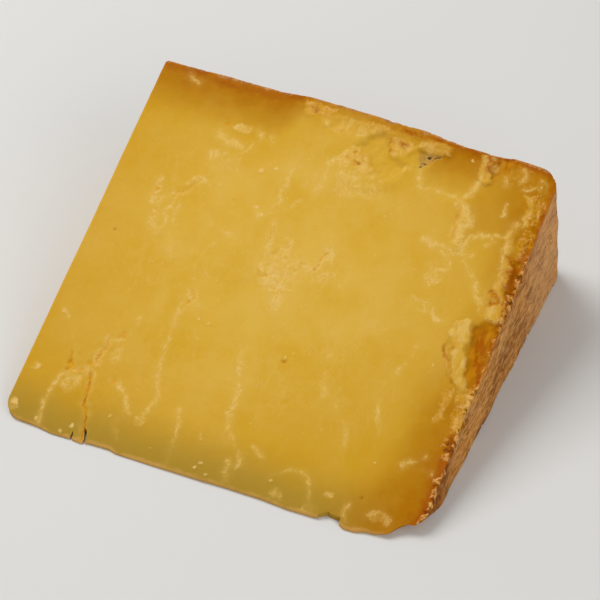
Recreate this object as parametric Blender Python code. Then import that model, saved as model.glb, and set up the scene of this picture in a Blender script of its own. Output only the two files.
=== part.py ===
"""A wedge of farmhouse cheddar, lying on one of its two radial cuts.

The cheese was a tall wheel with its axis along X. The wedge is a sector of that wheel: a radial
cut below, a radial cut on top that slopes up from the thin tip at -Y to the rind of the wheel's
side at +Y, a clean cross cut at -X and the rind of the wheel's flat end at +X.

Places on the upper cut are given as (across, inward): millimetres along the wheel's axis from the
cross cut, and millimetres from the nominal tip edge towards the outer rind.
"""

from math import radians

import bmesh
import bpy
import numpy as np
from mathutils import Vector, noise

MM = 0.001

# Driving sizes of the wheel and of the sector cut from it
WHEEL_RADIUS = 152.5 * MM
TIP_RADIUS = 2.5 * MM
SECTOR_ANGLE = radians(21.5)
AXIAL_LENGTH = 156.5 * MM
DEPTH = WHEEL_RADIUS - TIP_RADIUS
END_FLARE = 1.5 * MM
FLARE_REACH = 35.0 * MM

# Where the sector's own corner lies from the origin, which is under the middle of the wedge
LEFT_END_X = -79.2 * MM
WHEEL_AXIS_Y = -78.9 * MM

# How the outline departs from a plain rectangle on the cut
RIM_RADIUS = 6.0 * MM
WORN_CORNER_RADIUS = 7.0 * MM
CRISP_CORNER_RADIUS = 1.2 * MM
EDGE_REACH = 25.0 * MM
TIP_EDGE = (
    (0, 0.6), (10, 0.3), (14, 0.1), (20, -0.9), (27, -0.6), (31.5, -1.0), (34, 0.0), (42, 0.3),
    (45, -0.5), (60, -0.4), (78, 0.0), (86, 0.4), (100, 0.5), (110, -0.2), (120, 0.2), (129, 0.6),
    (131, -0.6), (135, -0.4), (138, 0.9), (146, 2.0), (148, 4.8), (150, 6.9), (152, 7.8), (154, 8.1),
    (156.5, 12.0),
)

# How far the foot of the tip's narrow face lies behind its top: (across, distance)
FOOT_RETREAT = ((0, 0), (142, 0), (148, 2.6), (152, 3.4), (154, 4.6), (156.5, 7.0))

# How the outer rind's edge departs from its nominal line
RIND_EDGE = (
    (0, 151.9), (24, 152.2), (48, 152.3), (58, 153.5), (70, 153.5), (90, 152.8), (104, 152.5),
    (118, 151.5), (132, 150.8), (138, 151.6), (150, 150.8), (156.5, 149.5),
)

# Relief of the upper cut: what is torn out, what stands proud, and the open cracks
HOLLOW_TEARS = (
    {"name": "tear beside the end rind", "depth": 1.7, "slope": 4.4,
     "outline": ((146.6, 85), (150, 87.5), (155, 87.5), (158, 85), (158, 62), (155.6, 60), (153, 61.5),
                 (151, 65), (149.6, 70), (148.6, 77))},
    {"name": "fold beside the tongue", "depth": 0.6, "slope": 1.0,
     "outline": ((140.2, 77), (143.2, 73.6), (144.4, 69.5), (146, 65), (148, 61.4), (146.8, 61.4),
                 (143.6, 66), (141, 69.4), (139.8, 73))},
    {"name": "tear above it", "depth": 1.3, "slope": 1.4,
     "outline": ((152, 113), (153.5, 106), (152.6, 102), (155.4, 97), (156, 90), (157.6, 87),
                 (157.8, 100), (156.8, 104), (157.4, 113))},
    {"name": "sunken border of the end rind", "depth": 0.7, "slope": 2.0,
     "outline": ((153.5, 113), (157.5, 113), (157.5, 147), (153, 149), (151.5, 138), (154, 128))},
    {"name": "scoop in the flaky back", "depth": 1.3, "slope": 1.6,
     "outline": ((81, 139.4), (84, 143.5), (88, 147.8), (92, 146.5), (94, 143), (95, 140.5), (98, 139.5),
                 (101, 138), (104, 136.8), (102, 136), (99.5, 134), (98, 131.4), (96, 130), (93, 130.6),
                 (90, 133), (88, 136), (84.5, 138.5))},
    {"name": "smooth hollow beside the mould", "depth": 0.7, "slope": 5.0,
     "outline": ((117, 149), (112, 143.5), (108.5, 138), (110, 130), (119, 128), (127, 132),
                 (128.5, 142), (128, 150))},
    {"name": "mould hole", "depth": 1.2, "slope": 1.6,
     "outline": ((104, 145), (107, 138.5), (110, 140), (113.5, 144.5))},
    {"name": "hollow behind the curl", "depth": 1.2, "slope": 2.4,
     "outline": ((131.5, 144.5), (134, 141.5), (139, 146), (138, 151.5), (133.5, 151))},
    {"name": "amber dip at the low right", "depth": 0.9, "slope": 9.0,
     "outline": ((139, 14), (155, 14), (156.5, 56), (146, 57), (140, 42))},
)
RAISED_FLAKES = (
    {"name": "long tongue", "height": 0.8, "slope": 0.9,
     "outline": ((140.6, 84.4), (143.5, 86), (145.6, 86.2), (147, 82.5), (148.2, 79), (147.6, 75.5),
                 (149.2, 71), (150.6, 66.5), (152.4, 62.6), (153.6, 60.6), (151, 60), (148, 61.4),
                 (146.4, 65), (144.8, 69.5), (143.6, 73.5), (141.4, 77), (140, 80.6))},
    {"name": "flake above it", "height": 0.6, "slope": 0.9,
     "outline": ((149.6, 114), (149.4, 104), (148.4, 98), (150, 93), (150.6, 88), (155.6, 88), (155.6, 95),
                 (154.8, 99.6), (152.4, 102), (153.4, 105.6), (152, 112))},
    {"name": "pale flakes at the back", "height": 0.6, "slope": 1.6,
     "outline": ((91, 148), (96, 145), (101, 142), (107, 146), (115, 145), (117, 148), (108, 151), (95, 150.5))},
    {"name": "ledge below the scoop", "height": 0.4, "slope": 2.4,
     "outline": ((76, 131), (82, 139), (88, 133.4), (94, 129), (99, 130), (104, 135), (101, 126), (90, 122),
                 (78, 124))},
    {"name": "curl", "height": 0.8, "slope": 0.8,
     "outline": ((128.2, 149), (127.8, 144), (128.8, 140.2), (131, 138), (133.8, 139.2), (133.8, 142.4),
                 (131.6, 143.4), (131.4, 146), (133.8, 149.6))},
    {"name": "web of the right-hand veins", "height": 0.35, "slope": 1.6,
     "outline": ((126.6, 130), (129, 127), (131, 124.6), (133, 121.6), (134.6, 118.6), (132, 115),
                 (132.6, 111), (130, 108.6), (127.6, 111), (129, 116), (128.4, 121), (126.6, 126))},
)
OPEN_CRACKS = (
    {"half_width": 0.9, "depth": 1.8,
     "route": ((31.5, -1), (30.5, 5), (29.5, 9), (27, 13), (26, 17), (25.5, 22), (24, 25), (24.5, 34), (25.5, 39))},
    {"half_width": 0.9, "depth": 1.0, "route": ((14.5, 30), (16, 26.5), (17, 25), (22, 25.5))},
    {"half_width": 0.8, "depth": 0.8, "route": ((23.5, 99), (27, 103), (32, 109))},
    {"half_width": 0.9, "depth": 1.0, "route": ((140.2, 73.5), (141.6, 70), (144, 66.5))},
    {"half_width": 0.8, "depth": 0.8, "route": ((126.5, 127), (127.5, 120), (128.8, 114.5))},
    {"half_width": 0.8, "depth": 0.7, "route": ((87.6, 96), (86.6, 91), (85.4, 87.5))},
)

# What has broken off the tip edge, cut right through its thickness
EDGE_BREAKS = (
    ((31.9, -4), (33.2, -4), (33.0, 1.2), (32.1, 3.6), (30.6, 4.6), (31.3, 3.0), (32.2, 0.9)),
    ((26.9, -4), (28.7, -4), (27.9, 0.8), (27.3, 2.2)),
    ((119.6, -4), (121.2, 1.1), (124.1, 3.1), (125.4, 2.5), (128.9, 2.4), (129.6, -4)),
)
BREAK_OVERSHOOT = 6.0 * MM

# Unevenness of the cut and of the rind, from crest to crest and from crest to hollow
CUT_SWELL_LENGTH = 38.0 * MM
CUT_SWELL = 0.35 * MM
RIND_GRAIN_ALONG = 15.0 * MM
RIND_GRAIN_ACROSS = 6.0 * MM
RIND_LUMP = 0.5 * MM

# Rows of the surface: each stop is (end of the stretch, spacing there), in millimetres
ROWS_ACROSS = ((22, 4.4), (35, 1.9), (80, 4.5), (136, 3.5), (156.5, 1.75))
ROWS_INWARD = ((8, 1.6), (44, 3.6), (124, 4.0), (150, 2.0))
ROWS_UP = 7

CHEESE_COLOUR = (0.66, 0.42, 0.05, 1.0)
CHEESE_ROUGHNESS = 0.45


def eased(share):
    """0 below 0, 1 above 1, and a smooth rise between."""
    share = np.clip(share, 0.0, 1.0)
    return share * share * (3.0 - 2.0 * share)


def along(edge, across):
    """The height of an edge's outline at each place across, in metres."""
    places, heights = np.array(edge, float).T * MM
    return np.interp(across, places, heights)


def distance_to_route(across, inward, route):
    """How far each place is from a broken line of points in millimetres."""
    corners = np.array(route, float) * MM
    nearest = np.full(across.shape, np.inf)
    for start, end in zip(corners[:-1], corners[1:]):
        run = end - start
        share = ((across - start[0]) * run[0] + (inward - start[1]) * run[1]) / run.dot(run)
        share = np.clip(share, 0.0, 1.0)
        gap = np.hypot(across - start[0] - share * run[0], inward - start[1] - share * run[1])
        nearest = np.minimum(nearest, gap)
    return nearest


def depth_inside(across, inward, outline):
    """How far inside a closed outline each place is, and less than nothing outside it."""
    corners = np.array(outline, float) * MM
    inside = np.zeros(across.shape, bool)
    for start, end in zip(corners, np.roll(corners, -1, axis=0)):
        spans = (start[1] > inward) != (end[1] > inward)
        rise = end[1] - start[1] or MM * MM
        crossing = start[0] + (inward - start[1]) / rise * (end[0] - start[0])
        inside ^= spans & (across < crossing)
    gap = distance_to_route(across, inward, tuple(outline) + (outline[0],))
    return np.where(inside, gap, -gap)


def noise_at(points):
    return np.array([noise.noise(Vector(point)) for point in points])


def cut_relief(across, inward):
    """How far the upper cut stands above its plane."""
    still = np.full(across.shape, 2.5)
    swell = noise_at(np.stack([across, inward, still * CUT_SWELL_LENGTH], axis=1) / CUT_SWELL_LENGTH)
    height = CUT_SWELL * swell
    for tear in HOLLOW_TEARS:
        inside = depth_inside(across, inward, tear["outline"])
        height -= tear["depth"] * MM * eased(inside / (tear["slope"] * MM) + 0.3)
    for flake in RAISED_FLAKES:
        inside = depth_inside(across, inward, flake["outline"])
        height += flake["height"] * MM * eased(inside / (flake["slope"] * MM) + 0.4)
    for crack in OPEN_CRACKS:
        gap = distance_to_route(across, inward, crack["route"])
        height -= crack["depth"] * MM * np.exp(-((gap / (crack["half_width"] * MM)) ** 2))
    return height


def round_corner(across, inward, centre, side, radius):
    """Pulls what lies in one corner of the outline onto an arc about the centre."""
    past_x = (across - centre[0]) * side[0]
    past_y = (inward - centre[1]) * side[1]
    corner = (past_x > 0) & (past_y > 0)
    reach = np.maximum(past_x, past_y)
    length = np.maximum(np.hypot(past_x, past_y), radius * 1e-6)
    shrink = np.where(corner, reach / length, 1.0)
    return (
        np.where(corner, centre[0] + side[0] * past_x * shrink, across),
        np.where(corner, centre[1] + side[1] * past_y * shrink, inward),
    )


def outline_places(across_share, inward_share):
    """Places on the cut for shares of its length and depth, with the wedge's real outline."""
    across = across_share * AXIAL_LENGTH
    inward = inward_share * DEPTH
    for side, radius in (((-1, -1), WORN_CORNER_RADIUS), ((-1, 1), CRISP_CORNER_RADIUS), ((1, 1), RIM_RADIUS)):
        centre = (
            radius if side[0] < 0 else AXIAL_LENGTH - radius,
            radius if side[1] < 0 else DEPTH - radius,
        )
        across, inward = round_corner(across, inward, centre, side, radius)
    near_tip = np.clip(1.0 - inward / EDGE_REACH, 0.0, 1.0)
    near_rind = np.clip(1.0 - (DEPTH - inward) / EDGE_REACH, 0.0, 1.0)
    shift = along(TIP_EDGE, across) * near_tip + (along(RIND_EDGE, across) - DEPTH) * near_rind
    return across, inward + shift


def rind_relief(first, second):
    """Lumps of the rind, drawn out along the first of two directions on it."""
    still = np.full(first.shape, 4.5)
    return RIND_LUMP * noise_at(np.stack([first / RIND_GRAIN_ALONG, second / RIND_GRAIN_ACROSS, still], axis=1))


def wedge_points(shares):
    """World places of the surface, from shares (across, inward, up) of the wedge's block."""
    across, inward = outline_places(shares[:, 0], shares[:, 1])
    up = shares[:, 2]
    near_tip = np.clip(1.0 - shares[:, 1] * DEPTH / EDGE_REACH, 0.0, 1.0)
    radius = TIP_RADIUS + inward + along(FOOT_RETREAT, across) * (1.0 - up) * near_tip
    angle = SECTOR_ANGLE * up
    on_end = shares[:, 0] > 1.0 - 1e-6
    on_side = shares[:, 1] > 1.0 - 1e-6
    height = radius * np.sin(angle)
    radius = radius + np.where(on_side, rind_relief(across, angle * WHEEL_RADIUS), 0.0)
    flare = END_FLARE * eased(shares[:, 1] * DEPTH / FLARE_REACH + 0.3)
    sideways = across + flare * (1.0 - up) * eased(shares[:, 0] * 6.0 - 5.0)
    sideways = sideways + np.where(on_end, rind_relief(inward, height), 0.0)
    lift = cut_relief(across, inward) * eased(up * 2.5 - 1.5)
    lift = np.maximum(lift, -0.5 * SECTOR_ANGLE * radius * up)
    return np.stack([
        LEFT_END_X + sideways,
        WHEEL_AXIS_Y + radius * np.cos(angle) - lift * np.sin(angle),
        radius * np.sin(angle) + lift * np.cos(angle),
    ], axis=1)


def row_shares(stops, whole):
    """Where the rows of the surface cross an edge, as shares of its length."""
    shares = []
    start = 0.0
    for end, spacing in stops:
        count = max(1, round((end - start) / spacing))
        shares += [(start + (end - start) * step / count) * MM / whole for step in range(count)]
        start = end
    return shares[1:]


def split_block(mesh, axis, shares):
    """Cuts the unit block across one axis at each share of it."""
    normal = [0.0, 0.0, 0.0]
    normal[axis] = 1.0
    for share in shares:
        point = [share if place == axis else 0.0 for place in range(3)]
        everything = mesh.verts[:] + mesh.edges[:] + mesh.faces[:]
        bmesh.ops.bisect_plane(mesh, geom=everything, plane_co=point, plane_no=normal)


def wedge_mesh():
    """The sector as one closed mesh, shaped from an evenly split block."""
    block = bmesh.new()
    bmesh.ops.create_cube(block, size=1.0)
    bmesh.ops.translate(block, verts=block.verts, vec=(0.5, 0.5, 0.5))
    split_block(block, 0, row_shares(ROWS_ACROSS, AXIAL_LENGTH))
    split_block(block, 1, row_shares(ROWS_INWARD, DEPTH))
    split_block(block, 2, [row / ROWS_UP for row in range(1, ROWS_UP)])
    shares = np.array([vertex.co for vertex in block.verts])
    for vertex, place in zip(block.verts, wedge_points(np.clip(shares, 0.0, 1.0))):
        vertex.co = place
    underside = [face for face in block.faces if max(vertex.co.z for vertex in face.verts) < 1e-7]
    bmesh.ops.dissolve_faces(block, faces=underside)
    bmesh.ops.recalc_face_normals(block, faces=block.faces)
    mesh = bpy.data.meshes.new("cheddar_wedge")
    block.to_mesh(mesh)
    block.free()
    return mesh


def break_cutter(index, outline, collection):
    """A prism through the tip edge, with the outline of one break."""
    shape = bmesh.new()
    foot = -BREAK_OVERSHOOT
    corners = [
        shape.verts.new((LEFT_END_X + x * MM, WHEEL_AXIS_Y + TIP_RADIUS + y * MM, foot))
        for x, y in outline
    ]
    face = shape.faces.new(corners)
    raised = bmesh.ops.extrude_face_region(shape, geom=[face])["geom"]
    top = [item for item in raised if isinstance(item, bmesh.types.BMVert)]
    bmesh.ops.translate(shape, verts=top, vec=(0.0, 0.0, TIP_RADIUS + 2.0 * BREAK_OVERSHOOT))
    bmesh.ops.recalc_face_normals(shape, faces=shape.faces)
    mesh = bpy.data.meshes.new(f"edge_break_{index}")
    shape.to_mesh(mesh)
    shape.free()
    cutter = bpy.data.objects.new(f"edge_break_{index}", mesh)
    cutter.hide_render = True
    cutter.display_type = "WIRE"
    collection.objects.link(cutter)
    return cutter


def cheese_material():
    material = bpy.data.materials.new("cheddar")
    material.use_nodes = True
    surface = material.node_tree.nodes["Principled BSDF"]
    surface.inputs["Base Color"].default_value = CHEESE_COLOUR
    surface.inputs["Roughness"].default_value = CHEESE_ROUGHNESS
    surface.inputs["Metallic"].default_value = 0.0
    return material


def new_collection(name):
    collection = bpy.data.collections.new(name)
    bpy.context.scene.collection.children.link(collection)
    return collection


def main():
    for leftover in list(bpy.data.objects):
        bpy.data.objects.remove(leftover)
    parts = new_collection("cheddar_wedge")
    cutters = new_collection("cutters")
    cutters.hide_render = True
    wedge = bpy.data.objects.new("cheddar_wedge", wedge_mesh())
    wedge.data.materials.append(cheese_material())
    parts.objects.link(wedge)
    for index, outline in enumerate(EDGE_BREAKS):
        cut = wedge.modifiers.new(f"edge_break_{index}", "BOOLEAN")
        cut.operation = "DIFFERENCE"
        cut.solver = "EXACT"
        cut.object = break_cutter(index, outline, cutters)


main()
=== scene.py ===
"""The looks of a wedge of farmhouse cheddar that lies on one of its two radial cuts.

Places on the upper cut are (across, inward): millimetres along the wheel's axis from the cross cut
at -X, and millimetres from the nominal tip edge at -Y towards the outer rind at +Y.
"""

from math import cos, radians, sin

import bmesh
import bpy
import numpy as np
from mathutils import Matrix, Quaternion, Vector, noise


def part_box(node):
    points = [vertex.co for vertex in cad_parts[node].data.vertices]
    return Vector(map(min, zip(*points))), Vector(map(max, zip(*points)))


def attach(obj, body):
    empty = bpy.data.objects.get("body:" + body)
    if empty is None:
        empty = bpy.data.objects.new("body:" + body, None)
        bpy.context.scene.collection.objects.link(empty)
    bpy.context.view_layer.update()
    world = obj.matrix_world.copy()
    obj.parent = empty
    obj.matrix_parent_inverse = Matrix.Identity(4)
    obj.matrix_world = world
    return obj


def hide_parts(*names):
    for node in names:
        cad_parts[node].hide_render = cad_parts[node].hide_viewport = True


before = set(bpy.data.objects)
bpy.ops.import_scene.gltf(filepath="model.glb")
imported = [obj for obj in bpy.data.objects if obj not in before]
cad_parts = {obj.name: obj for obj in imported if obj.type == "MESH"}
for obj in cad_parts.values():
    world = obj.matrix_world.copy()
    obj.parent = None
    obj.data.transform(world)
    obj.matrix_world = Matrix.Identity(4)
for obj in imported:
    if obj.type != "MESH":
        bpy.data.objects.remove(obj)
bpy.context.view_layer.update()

MM = 0.001
NODE = "cheddar_wedge"

# The sector, with the same driving sizes as the solid
WHEEL_RADIUS = 152.5 * MM
TIP_RADIUS = 2.5 * MM
SECTOR_ANGLE = radians(21.5)
AXIAL_LENGTH = 156.5 * MM
DEPTH = WHEEL_RADIUS - TIP_RADIUS
END_FLARE = 1.5 * MM
FLARE_REACH = 35.0 * MM
LEFT_END_X = -79.2 * MM
WHEEL_AXIS_Y = -78.9 * MM
RIM_RADIUS = 6.0 * MM
WORN_CORNER_RADIUS = 7.0 * MM
CRISP_CORNER_RADIUS = 1.2 * MM
EDGE_REACH = 25.0 * MM

# The rounded corners of the cut's outline: (side along across and inward, radius)
ROUND_CORNERS = (((-1, -1), WORN_CORNER_RADIUS), ((-1, 1), CRISP_CORNER_RADIUS), ((1, 1), RIM_RADIUS))

# How the tip edge departs from its nominal line: (across, distance inward)
TIP_EDGE = (
    (0, 0.6), (10, 0.3), (14, 0.1), (20, -0.9), (27, -0.6), (31.5, -1.0), (34, 0.0), (42, 0.3),
    (45, -0.5), (60, -0.4), (78, 0.0), (86, 0.4), (100, 0.5), (110, -0.2), (120, 0.2), (129, 0.6),
    (131, -0.6), (135, -0.4), (138, 0.9), (146, 2.0), (148, 4.8), (150, 6.9), (152, 7.8), (154, 8.1),
    (156.5, 12.0),
)

# How far the foot of the tip's narrow face lies behind its top: (across, distance)
FOOT_RETREAT = ((0, 0), (142, 0), (148, 2.6), (152, 3.4), (154, 4.6), (156.5, 7.0))

# The outer rind's edge: (across, inward)
RIND_EDGE = (
    (0, 151.9), (24, 152.2), (48, 152.3), (58, 153.5), (70, 153.5), (90, 152.8), (104, 152.5),
    (118, 151.5), (132, 150.8), (138, 151.6), (150, 150.8), (156.5, 149.5),
)

# What is torn out of the upper cut, in millimetres
HOLLOW_TEARS = (
    {"name": "tear beside the end rind", "depth": 1.7, "slope": 4.4,
     "outline": ((146.6, 85), (150, 87.5), (155, 87.5), (158, 85), (158, 62), (155.6, 60), (153, 61.5),
                 (151, 65), (149.6, 70), (148.6, 77))},
    {"name": "fold beside the tongue", "depth": 0.6, "slope": 1.0,
     "outline": ((140.2, 77), (143.2, 73.6), (144.4, 69.5), (146, 65), (148, 61.4), (146.8, 61.4),
                 (143.6, 66), (141, 69.4), (139.8, 73))},
    {"name": "tear above it", "depth": 1.3, "slope": 1.4,
     "outline": ((152, 113), (153.5, 106), (152.6, 102), (155.4, 97), (156, 90), (157.6, 87),
                 (157.8, 100), (156.8, 104), (157.4, 113))},
    {"name": "sunken border of the end rind", "depth": 0.7, "slope": 2.0,
     "outline": ((153.5, 113), (157.5, 113), (157.5, 147), (153, 149), (151.5, 138), (154, 128))},
    {"name": "scoop in the flaky back", "depth": 1.3, "slope": 2.6,
     "outline": ((81, 139.4), (84, 143.5), (88, 147.8), (92, 146.5), (94, 143), (95, 140.5), (98, 139.5),
                 (101, 138), (104, 136.8), (102, 136), (99.5, 134), (98, 131.4), (96, 130), (93, 130.6),
                 (90, 133), (88, 136), (84.5, 138.5))},
    {"name": "smooth hollow beside the mould", "depth": 0.7, "slope": 5.0,
     "outline": ((117, 149), (112, 143.5), (108.5, 138), (110, 130), (119, 128), (127, 132),
                 (128.5, 142), (128, 150))},
    {"name": "mould hole", "depth": 1.2, "slope": 1.6,
     "outline": ((104, 145), (107, 138.5), (110, 140), (113.5, 144.5))},
    {"name": "hollow behind the curl", "depth": 1.2, "slope": 2.4,
     "outline": ((131.5, 144.5), (134, 141.5), (139, 146), (138, 151.5), (133.5, 151))},
    {"name": "amber dip at the low right", "depth": 0.9, "slope": 9.0,
     "outline": ((139, 14), (155, 14), (156.5, 56), (146, 57), (140, 42))},
)

# The outline of the long tongue of cheese beside the end rind
LONG_TONGUE = (
    (140.6, 84.4), (143.5, 86), (145.6, 86.2), (147, 82.5), (148.2, 79), (147.6, 75.5), (149.2, 71),
    (150.6, 66.5), (152.4, 62.6), (153.6, 60.6), (151, 60), (148, 61.4), (146.4, 65), (144.8, 69.5),
    (143.6, 73.5), (141.4, 77), (140, 80.6),
)

# What stands proud of the upper cut, in millimetres
RAISED_FLAKES = (
    {"name": "long tongue", "height": 0.8, "slope": 0.9, "outline": LONG_TONGUE},
    {"name": "flake above it", "height": 0.6, "slope": 0.9,
     "outline": ((149.6, 114), (149.4, 104), (148.4, 98), (150, 93), (150.6, 88), (155.6, 88), (155.6, 95),
                 (154.8, 99.6), (152.4, 102), (153.4, 105.6), (152, 112))},
    {"name": "pale flakes at the back", "height": 0.6, "slope": 1.6,
     "outline": ((91, 148), (96, 145), (101, 142), (107, 146), (115, 145), (117, 148),
                 (108, 151), (95, 150.5))},
    {"name": "ledge below the scoop", "height": 0.4, "slope": 2.4,
     "outline": ((76, 131), (82, 139), (88, 133.4), (94, 129), (99, 130), (104, 135), (101, 126), (90, 122),
                 (78, 124))},
    {"name": "curl", "height": 0.8, "slope": 0.8,
     "outline": ((128.2, 149), (127.8, 144), (128.8, 140.2), (131, 138), (133.8, 139.2), (133.8, 142.4),
                 (131.6, 143.4), (131.4, 146), (133.8, 149.6))},
    {"name": "web of the right-hand veins", "height": 0.35, "slope": 1.6,
     "outline": ((126.6, 130), (129, 127), (131, 124.6), (133, 121.6), (134.6, 118.6), (132, 115),
                 (132.6, 111), (130, 108.6), (127.6, 111), (129, 116), (128.4, 121), (126.6, 126))},
)

# Open cracks of the upper cut: each is (half width, depth, route)
OPEN_CRACKS = (
    (0.45, 1.0, ((31.5, -1), (30.5, 5), (29.5, 9), (28.2, 12.4), (27, 13), (26, 17), (25.5, 22), (24, 24.8))),
    (0.45, 0.7, ((25.2, 29.4), (24.3, 32), (25, 34.2), (25.6, 36), (25, 39.6))),
    (0.45, 0.7, ((14.7, 30.2), (16, 26.5), (17, 24.8), (15.4, 23))),
    (0.45, 0.5, ((17, 24.8), (19, 25.2), (22, 25.5))),
    (0.40, 0.35, ((25.5, 99.6), (26, 101.3), (28.2, 103), (29.8, 105.4), (32, 108.5))),
    (0.60, 0.5, ((140.4, 74), (141.8, 71.4), (143.4, 69), (144.8, 67))),
    (0.60, 0.45, ((126.6, 127), (127.2, 120.5), (128.0, 117), (128.8, 114.5))),
    (0.50, 0.40, ((87.6, 96), (87, 93), (86.4, 90), (85.4, 87.5))),
    (0.45, 0.25, ((74.8, 83), (75.6, 80), (75, 76.6), (71, 76.4))),
    (0.45, 0.30, ((66.2, 80.8), (68, 79.6), (69.8, 79.9))),
    (0.40, 0.30, ((46.6, 66), (47.6, 64), (48.3, 62.6))),
    (0.45, 0.5, ((27.8, 40.6), (29, 41.6), (30.2, 41.4), (29.4, 43.4))),
    (0.45, 0.35, ((40.2, 10.6), (41, 8.8), (41.8, 7.4))),
    (0.45, 0.25, ((18.1, 103), (18.6, 100), (17.7, 97.6), (18.8, 95.6))),
    (0.50, 0.8, ((157.6, 51), (156.8, 48.6), (156.4, 46))),
    (0.50, 0.5, ((84, 132.7), (85.4, 132.5))),
    (0.50, 0.5, ((81.7, 138), (82.3, 136.6))),
    (0.50, 0.6, ((148, 98.4), (150.6, 97.8), (152, 95.6), (150.4, 94.4))),
    (0.40, 0.6, ((131.8, 146), (130.9, 142.5), (131, 140.8))),
    (0.40, 0.5, ((133.4, 149.4), (132, 147.4), (130.4, 146.6))),
    (0.50, 0.25, ((124.8, 102.6), (127, 102.4), (129.6, 103))),
    (0.45, 0.3, ((115.4, 74), (116.6, 71.6))),
)

# What has broken off the tip edge, cut right through its thickness
EDGE_BREAKS = (
    ((31.9, -4), (33.2, -4), (33.0, 1.2), (32.1, 3.6), (30.6, 4.6), (31.3, 3.0), (32.2, 0.9)),
    ((26.9, -4), (28.7, -4), (27.9, 0.8), (27.3, 2.2)),
    ((119.6, -4), (121.2, 1.1), (124.1, 3.1), (125.4, 2.5), (128.9, 2.4), (129.6, -4)),
)
BREAK_OVERSHOOT = 6.0 * MM

# Beside the breaks, corners this close are joined
SLIVER = 0.05 * MM

# A face with this many corners is the underside, which stays whole
MANY_CORNERS = 200

# Unevenness of the cut and of the rind
CUT_SWELL_LENGTH = 38.0 * MM
CUT_SWELL = 0.35 * MM
RIND_GRAIN_ALONG = 15.0 * MM
RIND_GRAIN_ACROSS = 6.0 * MM
RIND_LUMP = 0.5 * MM
RIND_CLOTH = 0.15 * MM
RIND_PITS = 0.4 * MM

# Fine relief of the cut, and how much of the open cracks' depth shows in it
CRACK_SHARE = 0.8
FLAKE_GRAIN = 0.28 * MM
ROUGH_GRAIN = 0.35 * MM
CRUMB_GRAIN = 0.9 * MM
VEIN_RISE = 0.05 * MM
VEIN_GRAIN = 0.22 * MM
PLAIN_GRAIN = 0.12 * MM
DARK_SPECK_DEPTH = 0.3 * MM
PALE_SPECK_HEIGHT = 0.25 * MM

# Where the looks of the cut and of the rind change
# The cut's lit middle, and how far from it the painted shade reaches as the light falls off towards the edges
CUT_MIDDLE = (72.0 * MM, 82.0 * MM)
SHADE_FALLOFF_REACH = 85.0 * MM
VEIN_FADE = 26.0 * MM
# Width of the band of painted shade that darkens the cut towards the thin tip edge
TIP_SHADE_WIDTH = 22.0 * MM
WORN_RIND_END = 46.0 * MM
WORN_RIND_FADE = 28.0 * MM
DRY_RIND_START = 96.0 * MM
DRY_RIND_FADE = 34.0 * MM
CRACK_RIM = 0.4
CRACK_RIM_WIDTH = 1.7 * MM

# Spacing of the fine surface's rows: (up to this place, spacing)
ROWS_ACROSS = ((12, 0.8), (46, 0.5), (118, 0.72), (140, 0.55), (156.5, 0.36))
ROWS_INWARD = ((14, 0.5), (60, 0.6), (115, 0.5), (128, 0.6), (150, 0.5))
ROWS_UP = 16
TIP_ROUNDING = 0.45 * MM

# How crumbly the border of the end rind is: (inward, strength)
BORDER_CRUMBS = (
    (0, 0.3), (6, 0.9), (14, 1.0), (60, 1.0), (66, 0.6), (84, 0.5), (90, 0.9), (112, 0.8),
    (120, 0.3), (150, 0.2),
)
BORDER_WIDTH = 3.4 * MM

# How far the crumbly border hangs over the end rind: (inward, distance)
END_LIP = ((0, 1.2), (8, 2.6), (44, 2.2), (62, 1.2), (84, 0.9), (92, 1.8), (112, 1.6), (122, 0.7), (150, 0.5))

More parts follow.
